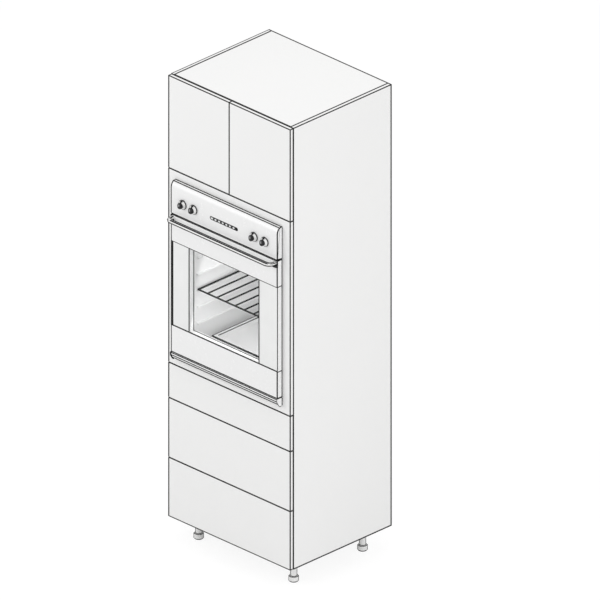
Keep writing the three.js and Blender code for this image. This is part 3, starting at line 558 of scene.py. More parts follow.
def control_panel():
    """Side view of the fascia, depth against height: a flat face that rolls back over the top
    through points on a curve, to a crease, and small arcs at its foot. The fascia is that
    outline drawn along X. Its crease, its back edge and its foot carry black lines."""
    front, back = OVEN_Y, OVEN_BACK
    bottom, top = PANEL_LOW[2], PANEL_HIGH[2]
    small = 1.5 * MM
    roll = np.array([(14.6, 0), (14.0, 0.9), (12.4, 2.4), (10, 4.6), (7.8, 6.9), (6, 9.4),
                     (4.4, 12.4), (3, 15.6), (1.9, 18.6), (1, 21.6), (0.4, 24.6), (0, 28)]) * MM
    roll = np.stack([front + roll[:, 0], top - roll[:, 1]], -1)
    outline = np.vstack([
        arc_points((front + small, bottom + small), small, 180, 270, 5),
        [[back, bottom], [back, top], [back - 7.6 * MM, top], [front + 17.4 * MM, top]], roll,
    ])
    panel = drawn_out("control_fascia", outline, -OVEN_HALF, OVEN_HALF, "X", "root",
                      SATIN_ENAMEL, 1.2 * MM, (PANEL_LEFT, RETURN, RETURN))
    _, y, z = face_middles(panel)
    crease = within(y - front, 11.8, 18) & (z > top - 2.8 * MM)
    back_edge = (z > top - 0.5 * MM) & (y > back - 7 * MM)
    foot = (z < bottom + small) & (y < front + small)
    paint(panel, crease | back_edge | foot)
    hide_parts("control_panel")


def bottom_trim():
    """Side view of the trim: upright, then curving back under to its foot, drawn along X. Its
    crease carries a black line. Its lip carries a black band that is painted shade, darkening
    the gap under the door, and its foot a black line that is partly drawn outline and partly
    painted shadow where it meets the frame panel. Black strips close its ends, and one more
    black strip is painted shadow in the gap under the door."""
    low, high = corners("bottom_trim")
    front, back, top = low[1], high[1], high[2]
    small = 1.2 * MM
    curve = np.array([(0, 3.6), (0, 9), (0.4, 11.2), (1.2, 13.4), (2.4, 16), (4, 19), (6.7, 23.2),
                      (9, 27.2), (12, 31.5), (14.4, 33.8), (19, 37.1)]) * MM
    curve = np.stack([front + curve[:, 0], top - curve[:, 1]], -1)
    rounding = arc_points((front + small, top - small), small, 90, 180, 5)
    outline = np.vstack([rounding, curve, [[back, low[2]], [back, top]]])
    trim = drawn_out("oven_foot_trim", outline[::-1], -OVEN_HALF, OVEN_HALF, "X", "root",
                     SATIN_ENAMEL, small, (SHEET, RETURN, RETURN))
    _, y, z = face_middles(trim)
    # Painted shade: a black band on the lip that darkens the gap under the door.
    lip = (y < front + small) & (z > top - 3.7 * MM)
    crease = within(top - z, 9.5, 14.8) & (y < back - 2 * MM)
    # Black line at the foot: partly drawn outline, partly painted shadow where the trim meets the
    # frame panel.
    foot = (y < back - 1 * MM) & (z < top - 25.0 * MM)
    paint(trim, lip | crease | foot)
    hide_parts("bottom_trim")
    for name, sign in SIDES:
        end = sign * OVEN_HALF
        fitting(f"trim_end_strip_{name}", (end, OVEN_BACK, low[2]) + mm(-0.3 * sign, -5, 1),
                (end, OVEN_BACK, top) + mm(0.2 * sign, 0, 0), "root", BLACK_RUBBER,
                0.1)
    # Painted shadow: a black strip standing in for the shade in the gap under the door.
    fitting("trim_painted_shadow_strip", (-OVEN_HALF, front, top) + mm(3, 6, -1),
            (OVEN_HALF, front, top) + mm(-3, 28, 0.6), "root", BLACK_RUBBER, 0.3)


def air_outlet():
    """Black slot between the control panel and the door, where the cooling air comes out: a
    strip with a row of guide fins. The strip's black is partly painted shade: it stands in
    for the shade deep in the gap."""
    low, high = DOOR_HIGH[2] + 1.2 * MM, PANEL_LOW[2]
    # Painted shade: the black strip stands in for the shade deep in the gap under the panel.
    fitting("air_outlet_shade_strip", (-OVEN_HALF, OVEN_Y, low) + mm(0.6, 2.5, 1),
            (OVEN_HALF, OVEN_BACK, high) + mm(-0.3, 0, 0.3), "root", BLACK_RUBBER,
            0.6)
    fins = [block(f"fin_{i}", (x, OVEN_Y, low) + mm(-0.8, 1.2, 0.6),
                  (x, OVEN_Y, high) + mm(0.8, 4, -0.4), "root", BLACK_PLASTIC, 0.3)
            for i, x in enumerate(np.linspace(-0.3, 0.3, 31))]
    joined("air_outlet_fins", fins)


def stadium(length, height):
    """Outline with straight sides and half-round ends, about (0, 0), anticlockwise."""
    radius = height / 2
    reach = length / 2 - radius
    right = arc_points((reach, 0), radius, -90, 90, 14)
    left = arc_points((-reach, 0), radius, 90, 270, 14)
    return np.vstack([right, left])


# The lenses on the indicator strip, along X, in mm. The first is longer than the others.
LENS_START, LENS_PITCH, LENS_COUNT = -73.6, 22.4, 7
LENS_LENGTH, FIRST_LENS_LENGTH, LENS_HEIGHT = 12.0, 15.2, 8.0
BUTTON_X = 79


def indicator_strip():
    """A black stadium bezel with seven pale oval lenses, and a dark round button at its end."""
    low, high = corners("indicator_strip")
    z = middle_of("indicator_strip")[2]
    bezel = drawn_out("indicator_bezel", stadium(high[0] - low[0], high[2] - low[2]) + [0.0, z],
                      OVEN_Y - 0.9 * MM, OVEN_Y + 1.0 * MM, "Y", "root", BLACK_PLASTIC, 0.5 * MM)
    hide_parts("indicator_strip")
    lenses = []
    for i in range(LENS_COUNT):
        length = LENS_LENGTH if i else FIRST_LENS_LENGTH
        place = [(LENS_START + LENS_PITCH * i) * MM, z]
        lenses.append(drawn_out(f"lens_{i}", stadium(length * MM, LENS_HEIGHT * MM) + place,
                                OVEN_Y - 1.8 * MM, OVEN_Y - 0.7 * MM, "Y", "root",
                                LENS_PLASTIC, 0.7 * MM))
    joined("indicator_lenses", lenses)
    profile = [(6.2, 0.2), (6.4, -1.2), (5.6, -1.9), (3.0, -2.2), (0.6, -2.25)]
    button = turned("indicator_button", profile, (BUTTON_X * MM, OVEN_Y, z), "Y", "root",
                    BLACK_RUBBER, 32)


def knob(number):
    """A pale skirt and cone with a black rim round the skirt's side, partly drawn outline and
    partly painted shade of the gap round the knob, and a black grip whose section squares off
    as it rises: each ring is a superellipse, its half width and height and its squareness
    given by rows."""
    node = f"knob_{number}"
    x, _, z = middle_of(node)
    face = OVEN_Y
    place = (x, face, z)
    profile = [(3, 11.7), (3, -1), (21.4, -0.35), (22.6, -1.1), (23, -2.3), (22.8, -4.0),
               (21.9, -4.9), (20.6, -5.2), (17.2, -6.0), (16.2, -8.0), (15.0, -12.6),
               (14.2, -13.8), (12.4, -14.2)]
    skirt = turned(f"{node}_skirt", profile, place, "Y", node, PALE_PLASTIC, 64)
    a, b, c = face_middles(skirt)
    # Black rim on the skirt's side: partly drawn outline, partly painted shade of the gap round the
    # knob.
    paint(skirt, within(face - b, 0.3, 5.06) & (np.hypot(a - x, c - z) > 21 * MM))
    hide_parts(node)
    rise = np.array([12.0, 14.1, 15.0, 17.0, 20.0, 23.4, 25.2, 26.0])[:, None] * MM
    wide = np.array([13.6, 14.1, 13.8, 12.2, 11.2, 10.8, 9.8, 7.4])[:, None] * MM
    tall = np.array([13.4, 13.9, 14.0, 14.0, 14.0, 13.8, 13.0, 11.0])[:, None] * MM
    square = np.array([1.0, 1.0, 0.95, 0.8, 0.7, 0.66, 0.66, 0.7])[:, None]
    angle = np.linspace(0, 2 * np.pi, 56, endpoint=False)
    across = np.sign(np.cos(angle)) * np.abs(np.cos(angle)) ** square * wide
    up = np.sign(np.sin(angle)) * np.abs(np.sin(angle)) ** square * tall
    depth = np.broadcast_to(face - rise, across.shape)
    grip = grid_piece(f"{node}_grip", on_axis("Y", x + across, z + up, depth), node,
                      BLACK_PLASTIC)
    fitting(f"{node}_inlay", place + mm(-2.6, -26.3, -1.5), place + mm(2.6, -25.4, 9.8),
            node, GREY_PLASTIC, 0.35)
    fitting(f"{node}_mark", place + mm(-3.4, -14.6, 12.5), place + mm(3.4, -4.6, 22.4),
            node, BLACK_PLASTIC, 1.0)


# ---- Oven door ----

HANDLE_CORNER = 39 * MM
HANDLE_THICK = 20 * MM
HANDLE_TALL = 12 * MM
INLAY = (-0.297, 0.313)  # where the grip inlay starts and ends along X
RIBS = np.linspace(-0.288, 0.304, 42)


def handle():
    """A bar along a plan path: an arm, a corner arc, the straight front and the same again.
    Each path point has an outer and an inner partner, and the section is ruled between the
    two: flat on top, rounded over on the outer top edge with a radius of 8 mm, and sharp
    below, where it leans in as it nears the door. A grey inlay lies along its top, and black
    lines follow the inlay and the bar's edges."""
    front, half, root = HANDLE_LOW[1], OVEN_HALF, HANDLE_HIGH[1]
    top, foot = HANDLE_HIGH[2], HANDLE_HIGH[2] - HANDLE_TALL
    centre = np.array([-half + HANDLE_CORNER, front + HANDLE_CORNER])
    straight = np.linspace(-half + HANDLE_CORNER, half - HANDLE_CORNER, 24)[1:-1]

    def path(inset):
        arc = arc_points(centre, HANDLE_CORNER - inset, 180, 270, 13)
        arm = np.vstack([[[-half + inset, root]], arc])
        middle = np.stack([straight, np.full(len(straight), front + inset)], -1)
        return np.vstack([arm, middle, arm[::-1] * [-1, 1]])

    outer, inner = path(0.0), path(HANDLE_THICK)
    nearness = np.clip((outer[:, 1] - front) / (root - front), 0, 1)
    lean = 9 * MM * nearness[:, None] ** 1.2
    section = np.vstack([[[0, 0], [0, 4]], arc_points((8, 4), 8, 171, 90, 7),
                         [[9.4, 12], [13, 12], [19.4, 12], [20, 11.4], [20, 9.4], [20, 0.6],
                          [19.4, 0], [2, 0]]]) * MM
    back, rise = section.T
    depth = back + lean * (1 - rise / HANDLE_TALL) * (back < 9 * MM)
    share = (depth / HANDLE_THICK)[..., None]
    flat = outer[:, None] * (1 - share) + inner[:, None] * share
    up = np.broadcast_to(foot + rise, flat.shape[:2])
    bar = grid_piece("handle_bar", np.concatenate([flat, up[..., None]], -1), "oven_door",
                     PALE_PLASTIC)
    x, y, z = face_middles(bar)
    behind = y - front
    beyond = np.abs(x) - half
    inlaid = (x > INLAY[0]) & (x < INLAY[1])
    paint(bar, inlaid & within(behind, 9.4, 13.0) & (z > top - 0.2 * MM), GRIP_GREY)
    before_inlay = inlaid & within(behind, 3.0, 9.5) & (z > top - 1.6 * MM)
    inner_edge = (beyond < -15.4 * MM) & (behind > 19.2 * MM)
    after_inlay = ((inlaid & (behind > 13.0 * MM)) | inner_edge) & (z > top - 2.8 * MM)
    lower_edge = within(z - foot, 0.2, 4.8) & ((behind < 8 * MM) | (beyond > -20 * MM))
    left_turn = (x + y < front - half + 31.0 * MM) & (z < top - 1 * MM)
    inward = HANDLE_CORNER - np.hypot(x - centre[0], np.minimum(y - centre[1], 0))
    left_rim = within(inward, 3.0, 6.0) & (z > top - 3 * MM) & (x < centre[0])
    left_rim &= x - y < centre[0] - centre[1]
    arm_rims = within(top - z, 0.05, 2.4) & (beyond > -14 * MM)
    paint(bar, before_inlay | after_inlay | lower_edge | left_turn | left_rim | arm_rims)
    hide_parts("oven_door_handle")
    handle_ribs(front, top)
    handle_ends(root, top)


def handle_ribs(front, top):
    """Shallow cross ribs along the grip inlay."""
    ribs = [block(f"rib_{i}", (x, front, top) + mm(-2.4, 9.6, -0.3),
                  (x, front, top) + mm(2.4, 12.8, 0.5), "oven_door", GREY_PLASTIC, 0.3)
            for i, x in enumerate(RIBS)]
    joined("handle_grip_ribs", ribs)


def handle_ends(root, top):
    """Black gussets under the handle's arms, a wedge in Y and Z carried along X, whose black is
    partly painted shade under the arms, and black end plates round the door's edge, which are
    painted shade: they stand in for the shadow gap between the handle's ends and the door."""
    wedge = np.array([(-22, -2.4), (-24, 0.4), (0.2, 0.4), (0.2, -14.5)]) * MM
    for name, sign in SIDES:
        end = sign * OVEN_HALF
        start, stop = sorted((end - sign * 21.4 * MM, end - sign * 1.2 * MM))
        # The gussets' black is partly painted shade under the handle's arms.
        gusset = drawn_out(f"handle_gusset_{name}", wedge + [root, top - HANDLE_TALL], start, stop,
                           "X", "oven_door", BLACK_PLASTIC, 0.8 * MM)
        # Painted shade: a black plate standing in for the shadow gap at the handle's end.
        fitting(f"handle_end_shade_plate_{name}", (end, OVEN_Y, top) + mm(-4.4 * sign, -0.5, -27),
                (end, OVEN_Y, DOOR_HIGH[2]) + mm(0.3 * sign, 5, 0.2), "oven_door",
                BLACK_PLASTIC, 0.3)
    caps = [(sign * OVEN_HALF, OVEN_Y, top) + mm(-10 * sign, 0.4, 1) for _, sign in SIDES]
    screws("handle_screw_caps", caps, 3.0, "oven_door", "-Y", GREY_PLASTIC)


def door_glass():
    """White print on both sides of the outer glass, and its black border lines, the widest
    by the door's left edge."""
    face = GLASS_LOW[1]
    bottom, top = GLASS_LOW[2], GLASS_HIGH[2]
    edge, window = GLASS_HIGH[0], WINDOW_HALF
    for name, sign in SIDES:
        fitting(f"glass_print_{name}", (sign * window, face - 0.22 * MM, bottom),
                (sign * edge, face + 0.02 * MM, top), "oven_door", WHITE_PRINT,
                0.1)
    lines = {
        "top": (-edge, edge, top - 3.4 * MM, top + 1.1 * MM),
        "bottom": (-edge, edge, bottom - 1.6 * MM, bottom + 6.6 * MM),
        "window_left": (-window - 3.2 * MM, -window + 2.2 * MM, bottom, top),
        "window_right": (window - 2.4 * MM, window + 3.6 * MM, bottom, top),
        "seal_left": (-OVEN_HALF + 1.4 * MM, -OVEN_HALF + 17.0 * MM, bottom, top),
    }
    for name, (x0, x1, z0, z1) in lines.items():
        fitting(f"glass_line_{name}", (x0, face - 0.5 * MM, z0), (x1, face - 0.1 * MM, z1),
                "oven_door", BLACK_ENAMEL, 0.15)


def window_reveal():
    """Black line round the back of the window's reveal: a rounded rectangle in X and Z, and
    the same drawn in by 0.4 mm, between two depths."""
    bottom, top = GLASS_LOW[2], GLASS_HIGH[2]
    middle = (bottom + top) / 2
    outer = rounded_rectangle(WINDOW_HALF - 0.02 * MM, (top - bottom) / 2 - 1.75 * MM, 2 * MM, 4)
    outer += [0.0, middle]
    inner = outer - outward(outer) * 0.4 * MM
    front, back = OVEN_Y + 26.8 * MM, OVEN_Y + 32.4 * MM
    rows = [loop_at(outer, "Y", front), loop_at(outer, "Y", back),
            loop_at(inner, "Y", back), loop_at(inner, "Y", front)]
    reveal = grid_piece("window_reveal_line", np.stack(rows), "oven_door", BLACK_RUBBER,
                        closed=True, caps=(False, False), smooth=False)


def door_joints():
    """Thin dark joints on the door's sides, in line with the top and bottom of its glass."""
    for level, z in (("upper", GLASS_HIGH[2]), ("lower", GLASS_LOW[2])):
        for name, sign in SIDES:
            place = (sign * OVEN_HALF, OVEN_Y, z)
            fitting(f"door_joint_{level}_{name}", place + mm(-0.2 * sign, 2.5, -2.8),
                    place + mm(0.15 * sign, 30, 2.2), "oven_door", BLACK_RUBBER,
                    0.1)


def door_back():
    """Screws round the inner glass, and the seal round the oven's mouth."""
    places = [(x, INNER_GLASS_HIGH[1], z) for x in (-0.26, 0.0, 0.26) for z in (1.03, 1.56)]
    screws("door_back_screws", places, 3.4, "oven_door")
    mouth = rounded_rectangle(0.246, 0.295, 0.03, 10) + [0.0, (MOUTH_BOTTOM + MOUTH_TOP) / 2]
    seal = tube("oven_mouth_seal", loop_at(mouth, "Y", CAVITY_LOW[1] - 1.4 * MM), 1.3 * MM,
                "root", BLACK_RUBBER, 12, closed=True)


# ---- Oven inside and casing ----

CROSS_WIRE_Y = 0.3035  # from the rack's front edge
ELEMENT_DROP = 0.235  # from the top of the cavity's solid to the heating element


def wire_rack():
    """Round wires front to back, welded on a loop of the same wire and one cross wire."""
    low, high = corners("wire_rack")
    radius = 4.0 * MM
    z = low[2] + radius
    half = high[0] - radius
    depth = (high[1] - low[1]) / 2 - radius
    middle = (high[1] + low[1]) / 2
    loop = rounded_rectangle(half, depth, 2 * MM, 5) + [0.0, middle]
    rim = tube("rack_rim", loop_at(loop, "Z", z), radius, "wire_rack", BLACK_ENAMEL, 14,
               closed=True)
    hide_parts("wire_rack")
    wires = [tube(f"wire_{i}", [(x, middle - depth, z), (x, middle, z), (x, middle + depth, z)],
                  radius * 0.97, "wire_rack", BLACK_ENAMEL, 12)
             for i, x in enumerate(np.linspace(-half, half, 9)[1:-1])]
    joined("rack_wires", wires)
    y = low[1] + CROSS_WIRE_Y
    cross = tube("rack_cross_wire", [(-half, y, z), (0, y, z), (half, y, z)], radius * 0.9,
                 "wire_rack", BLACK_ENAMEL, 12)


def baking_tray():
    """A pressed tray: nested rounded rectangles, each given by its inset, drop and corner
    radius in mm, from the rolled rim in over the flat rim, down the sloped wall and across
    the floor. Its rolled rim, and its inner edge at both ends, are black."""
    low, high = corners("baking_tray")
    half = (high - low) / 2
    middle = (high + low) / 2
    rings = [(1.6, -4.2, 4), (0.5, -4.0, 4), (0.0, -2.6, 4), (0.3, -0.9, 4), (1.2, 0.0, 4),
             (6.4, 0.0, 4), (18.0, 0.0, 12), (20.6, -0.1, 12), (22.6, -2.0, 14), (27.0, -14.0, 18),
             (28.6, -18.6, 18), (31.0, -20.6, 18), (36.0, -21.0, 18), (90.0, -21.0, 18),
             (145.0, -21.0, 3)]
    rows = []
    for inset, drop, corner in rings:
        loop = rounded_rectangle(half[0] - inset * MM, half[1] - inset * MM, corner * MM, 8)
        rows.append(loop_at(loop + middle[:2], "Z", high[2] + drop * MM))
    tray = grid_piece("tray_pan", np.stack(rows), "baking_tray", TRAY_ENAMEL,
                      caps=(False, True))
    x, y, z = face_middles(tray)
    from_end = half[0] - np.abs(x - middle[0])
    from_edge = np.minimum(from_end, half[1] - np.abs(y - middle[1]))
    inner_edge = (from_edge > 18 * MM) & (z > high[2] - 1.2 * MM) & (from_end < 23 * MM)
    paint(tray, (from_edge < 6.4 * MM) | inner_edge, BLACK_ENAMEL)
    wall = tray.modifiers.new("sheet", "SOLIDIFY")
    wall.thickness = 1.2 * MM
    wall.offset = -1.0
    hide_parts("baking_tray")


def oven_cavity_parts():
    """Heating element under the ceiling, a tube bent into a loop whose two tails reach the
    back, and the lamp glass beside it. The tube's path is a row of corners, evened out by
    weights of 1, 4, 6, 4 and 1."""
    x = np.array([-0.06, -0.06, -0.15, -0.18, -0.18, -0.15, 0.15, 0.18, 0.18, 0.15, 0.06, 0.06])
    y = np.array([0.42, 0.22, 0.19, 0.16, 0.07, 0.045, 0.045, 0.07, 0.16, 0.19, 0.22, 0.42])
    count = np.linspace(0, len(x) - 1, 90)
    soften = np.array([1, 4, 6, 4, 1]) / 16
    flat = [np.interp(count, np.arange(len(v)), v) for v in (x, y)]
    flat = [np.convolve(np.pad(v, 2, mode="edge"), soften, "valid") for v in flat]
    level = np.full(len(count), CAVITY_HIGH[2] - ELEMENT_DROP)
    path = np.stack([flat[0], flat[1] + CAVITY_LOW[1] + 0.012, level], -1)
    element = tube("grill_element", path, 3.6 * MM, "root", GREY_PLASTIC, 14)
    glass = turned("lamp_glass", [(24, 0.2), (24, -2), (21, -5), (14, -9), (4, -11)],
                   (0.165, CAVITY_LOW[1] + 0.4, MOUTH_TOP), "Z", "root", LENS_PLASTIC, 40)


def casing_back():
    """Terminal cover, sheet lips over the louvres and fixing screws on the casing's back. A
    lip's side view leaves the sheet as a sine, 7 mm, and falls as a square, 9 mm."""
    back = corners("oven_casing")[1][1]
    fitting("terminal_cover", (0.12, back - 0.2 * MM, 1.35), (0.24, back + 22 * MM, 1.47),
            "root", GREY_PLASTIC, 3)
    t = np.linspace(0, 1, 7)
    hoods = []
    for i, z in enumerate((1.62, 1.65, 1.68, 1.71, 1.74)):
        profile = np.stack([back + 7 * MM * np.sin(np.pi / 2 * t), z + 0.012 - 9 * MM * t ** 2], -1)
        profile = np.vstack([profile, profile[::-1] - 0.9 * MM])
        hoods.append(drawn_out(f"hood_{i}", profile, -0.166, 0.166, "X", "root", ZINC, 0.3 * MM))
    joined("louvre_hoods", hoods)
    places = [(x, back, z) for x in (-0.3, 0.0, 0.3) for z in (0.945, 1.76)]
    places += [(x, back, 1.35) for x in (-0.3, 0.3)]
    screws("casing_screws", places, 4.2, "root")


# ---- Cabinet fittings ----


def back_screws():
    """A row of screws up each side of the back panel and along its top and bottom."""
    low, high = corners("back_panel")
    edge = high[0] - 10 * MM
    places = [(sign * edge, high[1], z) for sign in (-1, 1)
              for z in np.linspace(low[2] + 0.03, high[2] - 0.03, 13)]
    places += [(x, high[1], z) for x in (-0.24, 0.0, 0.24) for z in (low[2] + 0.01, high[2] - 0.01)]
    screws("back_panel_screws", places, 3.6, "root")


def hinge_screws():
    """Screws on the cupboard hinges: two in each mounting plate and two beside each cup."""
    for side, sign in SIDES:
        plates, cups = [], []
        wall = sign * (SIDE_LOW[0] - 2.8 * MM)
        for level in ("lower", "upper"):
            z = middle_of(f"hinge_arm_{side}_{level}")[2]
            plates += [(wall, SIDE_LOW[1] + 0.042, z + dz * MM) for dz in (-19, 19)]
            cup = f"hinge_cup_{side}_{level}"
            x, _, z = middle_of(cup)
            y = corners(cup)[1][1] - 0.2 * MM
            cups += [(x, y, z + dz * MM) for dz in (-18.6, 18.6)]
        facing = "-X" if sign > 0 else "+X"
        screws(f"hinge_plate_screws_{side}", plates, 3.4, "root", facing)
        screws(f"hinge_cup_screws_{side}", cups, 1.5, f"door_{side}")


def shelf_pin_holes():
    """Two rows of black-lined holes in each side of the upper cupboard, every 32 mm."""
    for side, sign in SIDES:
        places = [(sign * SIDE_LOW[0], y, z) for y in (SIDE_LOW[1] + 0.12, SIDE_HIGH[1] - 0.06)
                  for z in 1.92 + 0.032 * np.arange(9)]
        profile = [(1.4, 0.0), (2.5, -sign * 0.02), (3.1, -sign * 0.12), (3.3, sign * 0.1)]
        cups = [turned(f"pin_{i}", profile, place, "X", "root", BLACK_PLASTIC, 12)
                for i, place in enumerate(places)]
        joined(f"shelf_pin_sockets_{side}", cups)


def cam_caps():
    """Caps over the cam fittings: on the underside of the upper deck and the oven deck."""
    places = []
    for node in ("upper_deck", "oven_deck"):
        low, high = corners(node)
        places += [(x, y, low[2]) for x in (low[0] + 0.034, high[0] - 0.034)
                   for y in (low[1] + 0.06, low[1] + 0.3, high[1] - 0.06)]
    profile = [(8.5, 0.2), (8.5, -0.6), (7.4, -1.1), (1.2, -1.3)]
    caps = [turned(f"cap_{i}", profile, place, "Z", "root", PALE_PLASTIC, 24)
            for i, place in enumerate(places)]
    joined("cam_caps", caps)


def bumpers():
    """Small clear bumpers on the backs of the cupboard doors, by their meeting edges."""
    profile = [(4, -0.2), (4, 0.5), (3.2, 1.2), (0.8, 1.5)]
    for side, sign in SIDES:
        low, high = corners(f"door_{side}")
        dots = [turned(f"dot_{i}", profile, (sign * 0.02, high[1], z), "Y", f"door_{side}",
                       LENS_PLASTIC, 20)
                for i, z in enumerate((low[2] + 0.02, high[2] - 0.03))]
        joined(f"door_bumpers_{side}", dots)


def drawer_fittings(label):
    """For each side of a drawer: the front bracket with its screws, a cap and a top strip on
    the side, the rail's screws and the stop at its end."""
    body = f"drawer_{label}"
    for side, sign in SIDES:
        low, high = corners(f"{body}_side_{side}")
        inner = low[0] if sign > 0 else high[0]
        foot = (inner, low[1], low[2])
        top = (inner, low[1], high[2])
        fitting(f"{body}_bracket_{side}", foot + mm(-0.4 * sign, 0.2, 14),
                top + mm(-22 * sign, 2.2, -6), body, ZINC, 0.6)
        places = [(inner - sign * 14 * MM, low[1] + 2.2 * MM, z)
                  for z in np.linspace(low[2] + 28 * MM, high[2] - 18 * MM, 3)]
        screws(f"{body}_bracket_screws_{side}", places, 3.6, body)
        fitting(f"{body}_side_cap_{side}", top + mm(-0.3 * sign, 20, -34),
                top + mm(-1.0 * sign, 62, -20), body, GREY_PLASTIC, 0.3)
        fitting(f"{body}_side_top_{side}", top + mm(1.2 * sign, 3, -0.2),
                (inner, high[1], high[2]) + mm(10.8 * sign, -3, 0.5), body, SIDE_COAT,
                0.3)
        low, high = corners(f"{body}_rail_{side}")
        z = (low[2] + high[2]) / 2
        wall, web = (low[0], high[0]) if sign > 0 else (high[0], low[0])
        web -= sign * 2 * MM
        places = [(web, y, z) for y in (low[1] + 0.03, low[1] + 0.2, high[1] - 0.03)]
        screws(f"{body}_rail_screws_{side}", places, 2.0, "root", "-X" if sign > 0 else "+X")
        end = (wall, high[1], z)
        fitting(f"{body}_rail_stop_{side}", end + mm(0.4 * sign, -0.2, -14),
                end + mm(8 * sign, 3, 14), "root", BLACK_PLASTIC)


# ---- Legs ----


def legs():
    """A flat-topped round foot on a stem whose middle has ten grip ribs, 0.35 mm high: there
    the radius grows or shrinks with the sign of the cosine of ten times the angle. Black
    lines lie on the foot's rims, and two black wings, by which it is turned, up its sides."""
    profile = np.array([(5, 0.4), (8, 0.0), (19.8, 0.0), (20.6, 0.8), (20.8, 4.6), (20.8, 24.4),
                        (20.6, 26.0), (19.8, 26.7), (18.2, 26.7), (15.6, 26.7), (14.2, 27.2),
                        (13.5, 29.0), (13.4, 56), (14.0, 58), (14.0, 82), (13.4, 84), (13.4, 104),
                        (13.75, 107), (13.75, 112.6), (13.2, 114.0), (5, 114.0), (5, 124.2)])
    reach, height = profile[:, :1], profile[:, 1:]
    angle = np.linspace(0, 2 * np.pi, 60, endpoint=False)
    ribbed = (height > 57) & (height < 83)
    radius = MM * (reach + 0.35 * np.where(ribbed, np.sign(np.cos(10 * angle)), 0.0))
    level = np.broadcast_to(MM * height, radius.shape)
    across = np.array([1, 1]) / np.sqrt(2)
    beside = np.array([-1, 1]) / np.sqrt(2)
    for node in [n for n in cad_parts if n.startswith("leg_")]:
        x, y, _ = middle_of(node)
        points = on_axis("Z", x + radius * np.cos(angle), y + radius * np.sin(angle), level)
        leg = grid_piece(f"{node}_moulding", points, node, LEG_NYLON)
        a, b, c = face_middles(leg)
        out = np.hypot(a - x, b - y)
        upper_rim = within(c, 24.4, 29.0) & ((out > 18 * MM) | (out < 15.7 * MM))
        paint(leg, within(c, 0.2, 3.5) | upper_rim)
        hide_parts(node)
        wings = []
        for side in (-1, 1):
            for start, stop, tip in ((1.2, 26.4, 23.0), (26.0, 111.0, 15.8)):
                outline = np.array([(tip - 3.4, -1.1), (tip - 0.4, -1.1), (tip, -0.5), (tip, 0.5),
                                    (tip - 0.4, 1.1), (tip - 3.4, 1.1)]) * MM
                plan = side * (outline[:, :1] * across + outline[:, 1:] * beside) + [x, y]
                wings.append(drawn_out(f"wing_{side}_{start}", plan, start * MM, stop * MM, "Z",
                                       node, EDGE_PAINT, 0.4 * MM))
        joined(f"{node}_wings", wings)
        fitting(f"{node}_socket_flange", (x, y, 0) + mm(-30, -30, 111.9),
                (x, y, 0) + mm(30, 30, 114.2), "root", LEG_NYLON)


# ---- Light, floor and camera ----

WORLD_LEVEL = 0.72  # the background's light on the object; it shows as pure white
FLOOR_REACH = 12.0
MIDDLE = (0.0, 0.0, 1.1)  # what the three large lamps shine at

# Each lamp's place, the point that it shines at, its width and height, and its watts.
LAMPS = {
    "key": ((-2.6, -4.2, 3.4), MIDDLE, 3.0, 3.0, 61),
    "fill": ((4.4, -1.2, 2.4), MIDDLE, 3.0, 3.0, 46),
    "top": ((0.3, 0.2, 5.0), MIDDLE, 3.0, 3.0, 26),
    "oven_lamp": ((0.0, CAVITY_LOW[1] + 0.2, 1.553), (0.0, CAVITY_LOW[1] + 0.2, 1.1), 0.34, 0.3, 0.62),
    "door_lamp": ((0.0, CAVITY_LOW[1] + 0.01, 1.3), (0.0, CAVITY_LOW[1] + 0.4, 1.2), 0.42, 0.42, 0.62),
}


def lamp(name, place, aim, width, height, watts):
    light = bpy.data.lights.new(name, "AREA")
    light.shape = "RECTANGLE"
    light.size, light.size_y = width, height
    light.energy = watts
    made = placed(name, light)
    made.visible_camera = False
    made.location = place
    made.rotation_euler = (Vector(aim) - Vector(place)).to_track_quat("-Z", "Y").to_euler()


def seen_ray(tree):
    """1 for a ray that shows the background itself: from the camera, or through or off a
    clear or shiny surface."""
    rays = add(tree, "LightPath").outputs
    seen = math_node(tree, "MAXIMUM", rays["Is Camera Ray"], rays["Is Glossy Ray"])
    return math_node(tree, "MAXIMUM", seen, rays["Is Transmission Ray"])


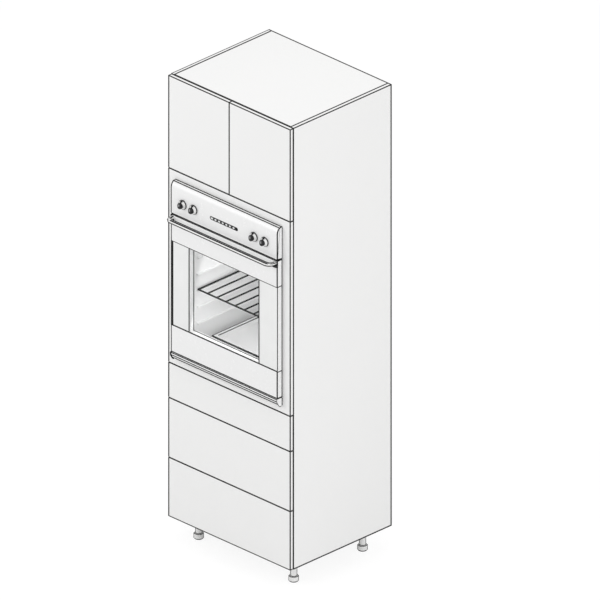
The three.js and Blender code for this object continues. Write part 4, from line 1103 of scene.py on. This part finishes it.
def floor_white():
    """A floor that lights the object as plain white, but is seen as a glowing sheet on which
    a shadow still shows."""
    made, tree, shader, point = material("floor_white")
    tree.nodes.remove(shader)
    tone = blend_colour(tree, noise(tree, point, 6.0), colour(0.84), colour(0.86))
    plain = add(tree, "BsdfDiffuse", {"Color": tone})
    shown = add(tree, "BsdfDiffuse", {"Color": colour(0.24)})
    glow = add(tree, "Emission", {"Color": colour(1.0), "Strength": 0.82})
    sheet = add(tree, "AddShader", {0: shown.outputs[0], 1: glow.outputs[0]})
    choice = {0: seen_ray(tree), 1: plain.outputs[0], 2: sheet.outputs[0]}
    mix = add(tree, "MixShader", choice)
    feed(tree, tree.nodes["Material Output"], {0: mix.outputs[0]})
    return made


def studio():
    """A white floor that keeps the unit's shadow, a white world, three large soft lamps, and
    two small ones in the oven."""
    reach = FLOOR_REACH
    mesh = bpy.data.meshes.new("floor")
    mesh.from_pydata([(-reach, -reach, 0), (reach, -reach, 0), (reach, reach, 0),
                      (-reach, reach, 0)], [], [(0, 1, 2, 3)])
    mesh.materials.append(floor_white())
    placed("floor", mesh)
    world = bpy.data.worlds.new("studio")
    world.use_nodes = True
    bpy.context.scene.world = world
    tree = world.node_tree
    strength = ranged(tree, seen_ray(tree), 0.0, 1.0, WORLD_LEVEL, 1.0)
    feed(tree, tree.nodes["Background"], {0: colour(1.0), 1: strength})
    for name, settings in LAMPS.items():
        lamp(name, *settings)


def camera():
    """Orthographic camera at the drawing's angle, aimed so that the origin falls on its
    pixel of the frame."""
    data = bpy.data.cameras.new("camera")
    data.type = "ORTHO"
    data.ortho_scale = FRAME_PX / PX_PER_M
    view = placed("camera", data)
    turn = Euler((math.pi / 2 - ELEVATION, 0.0, AZIMUTH))
    across = (FRAME_PX / 2 - ORIGIN_PX[0]) / PX_PER_M
    rise = (ORIGIN_PX[1] - FRAME_PX / 2) / PX_PER_M
    view.location = turn.to_matrix() @ Vector((across, rise, CAMERA_DISTANCE))
    view.rotation_euler = turn
    bpy.context.scene.camera = view


# ---- The whole scene ----

bpy.context.scene.view_settings.view_transform = "Standard"
camera()
studio()
dress_boards()
dress_metal()
control_panel()
bottom_trim()
air_outlet()
indicator_strip()
for number in range(1, 5):
    knob(number)
handle()
door_glass()
window_reveal()
door_joints()
door_back()
wire_rack()
baking_tray()
oven_cavity_parts()
casing_back()
back_screws()
hinge_screws()
shelf_pin_holes()
cam_caps()
bumpers()
for label in DRAWERS:
    drawer_fittings(label)
legs()
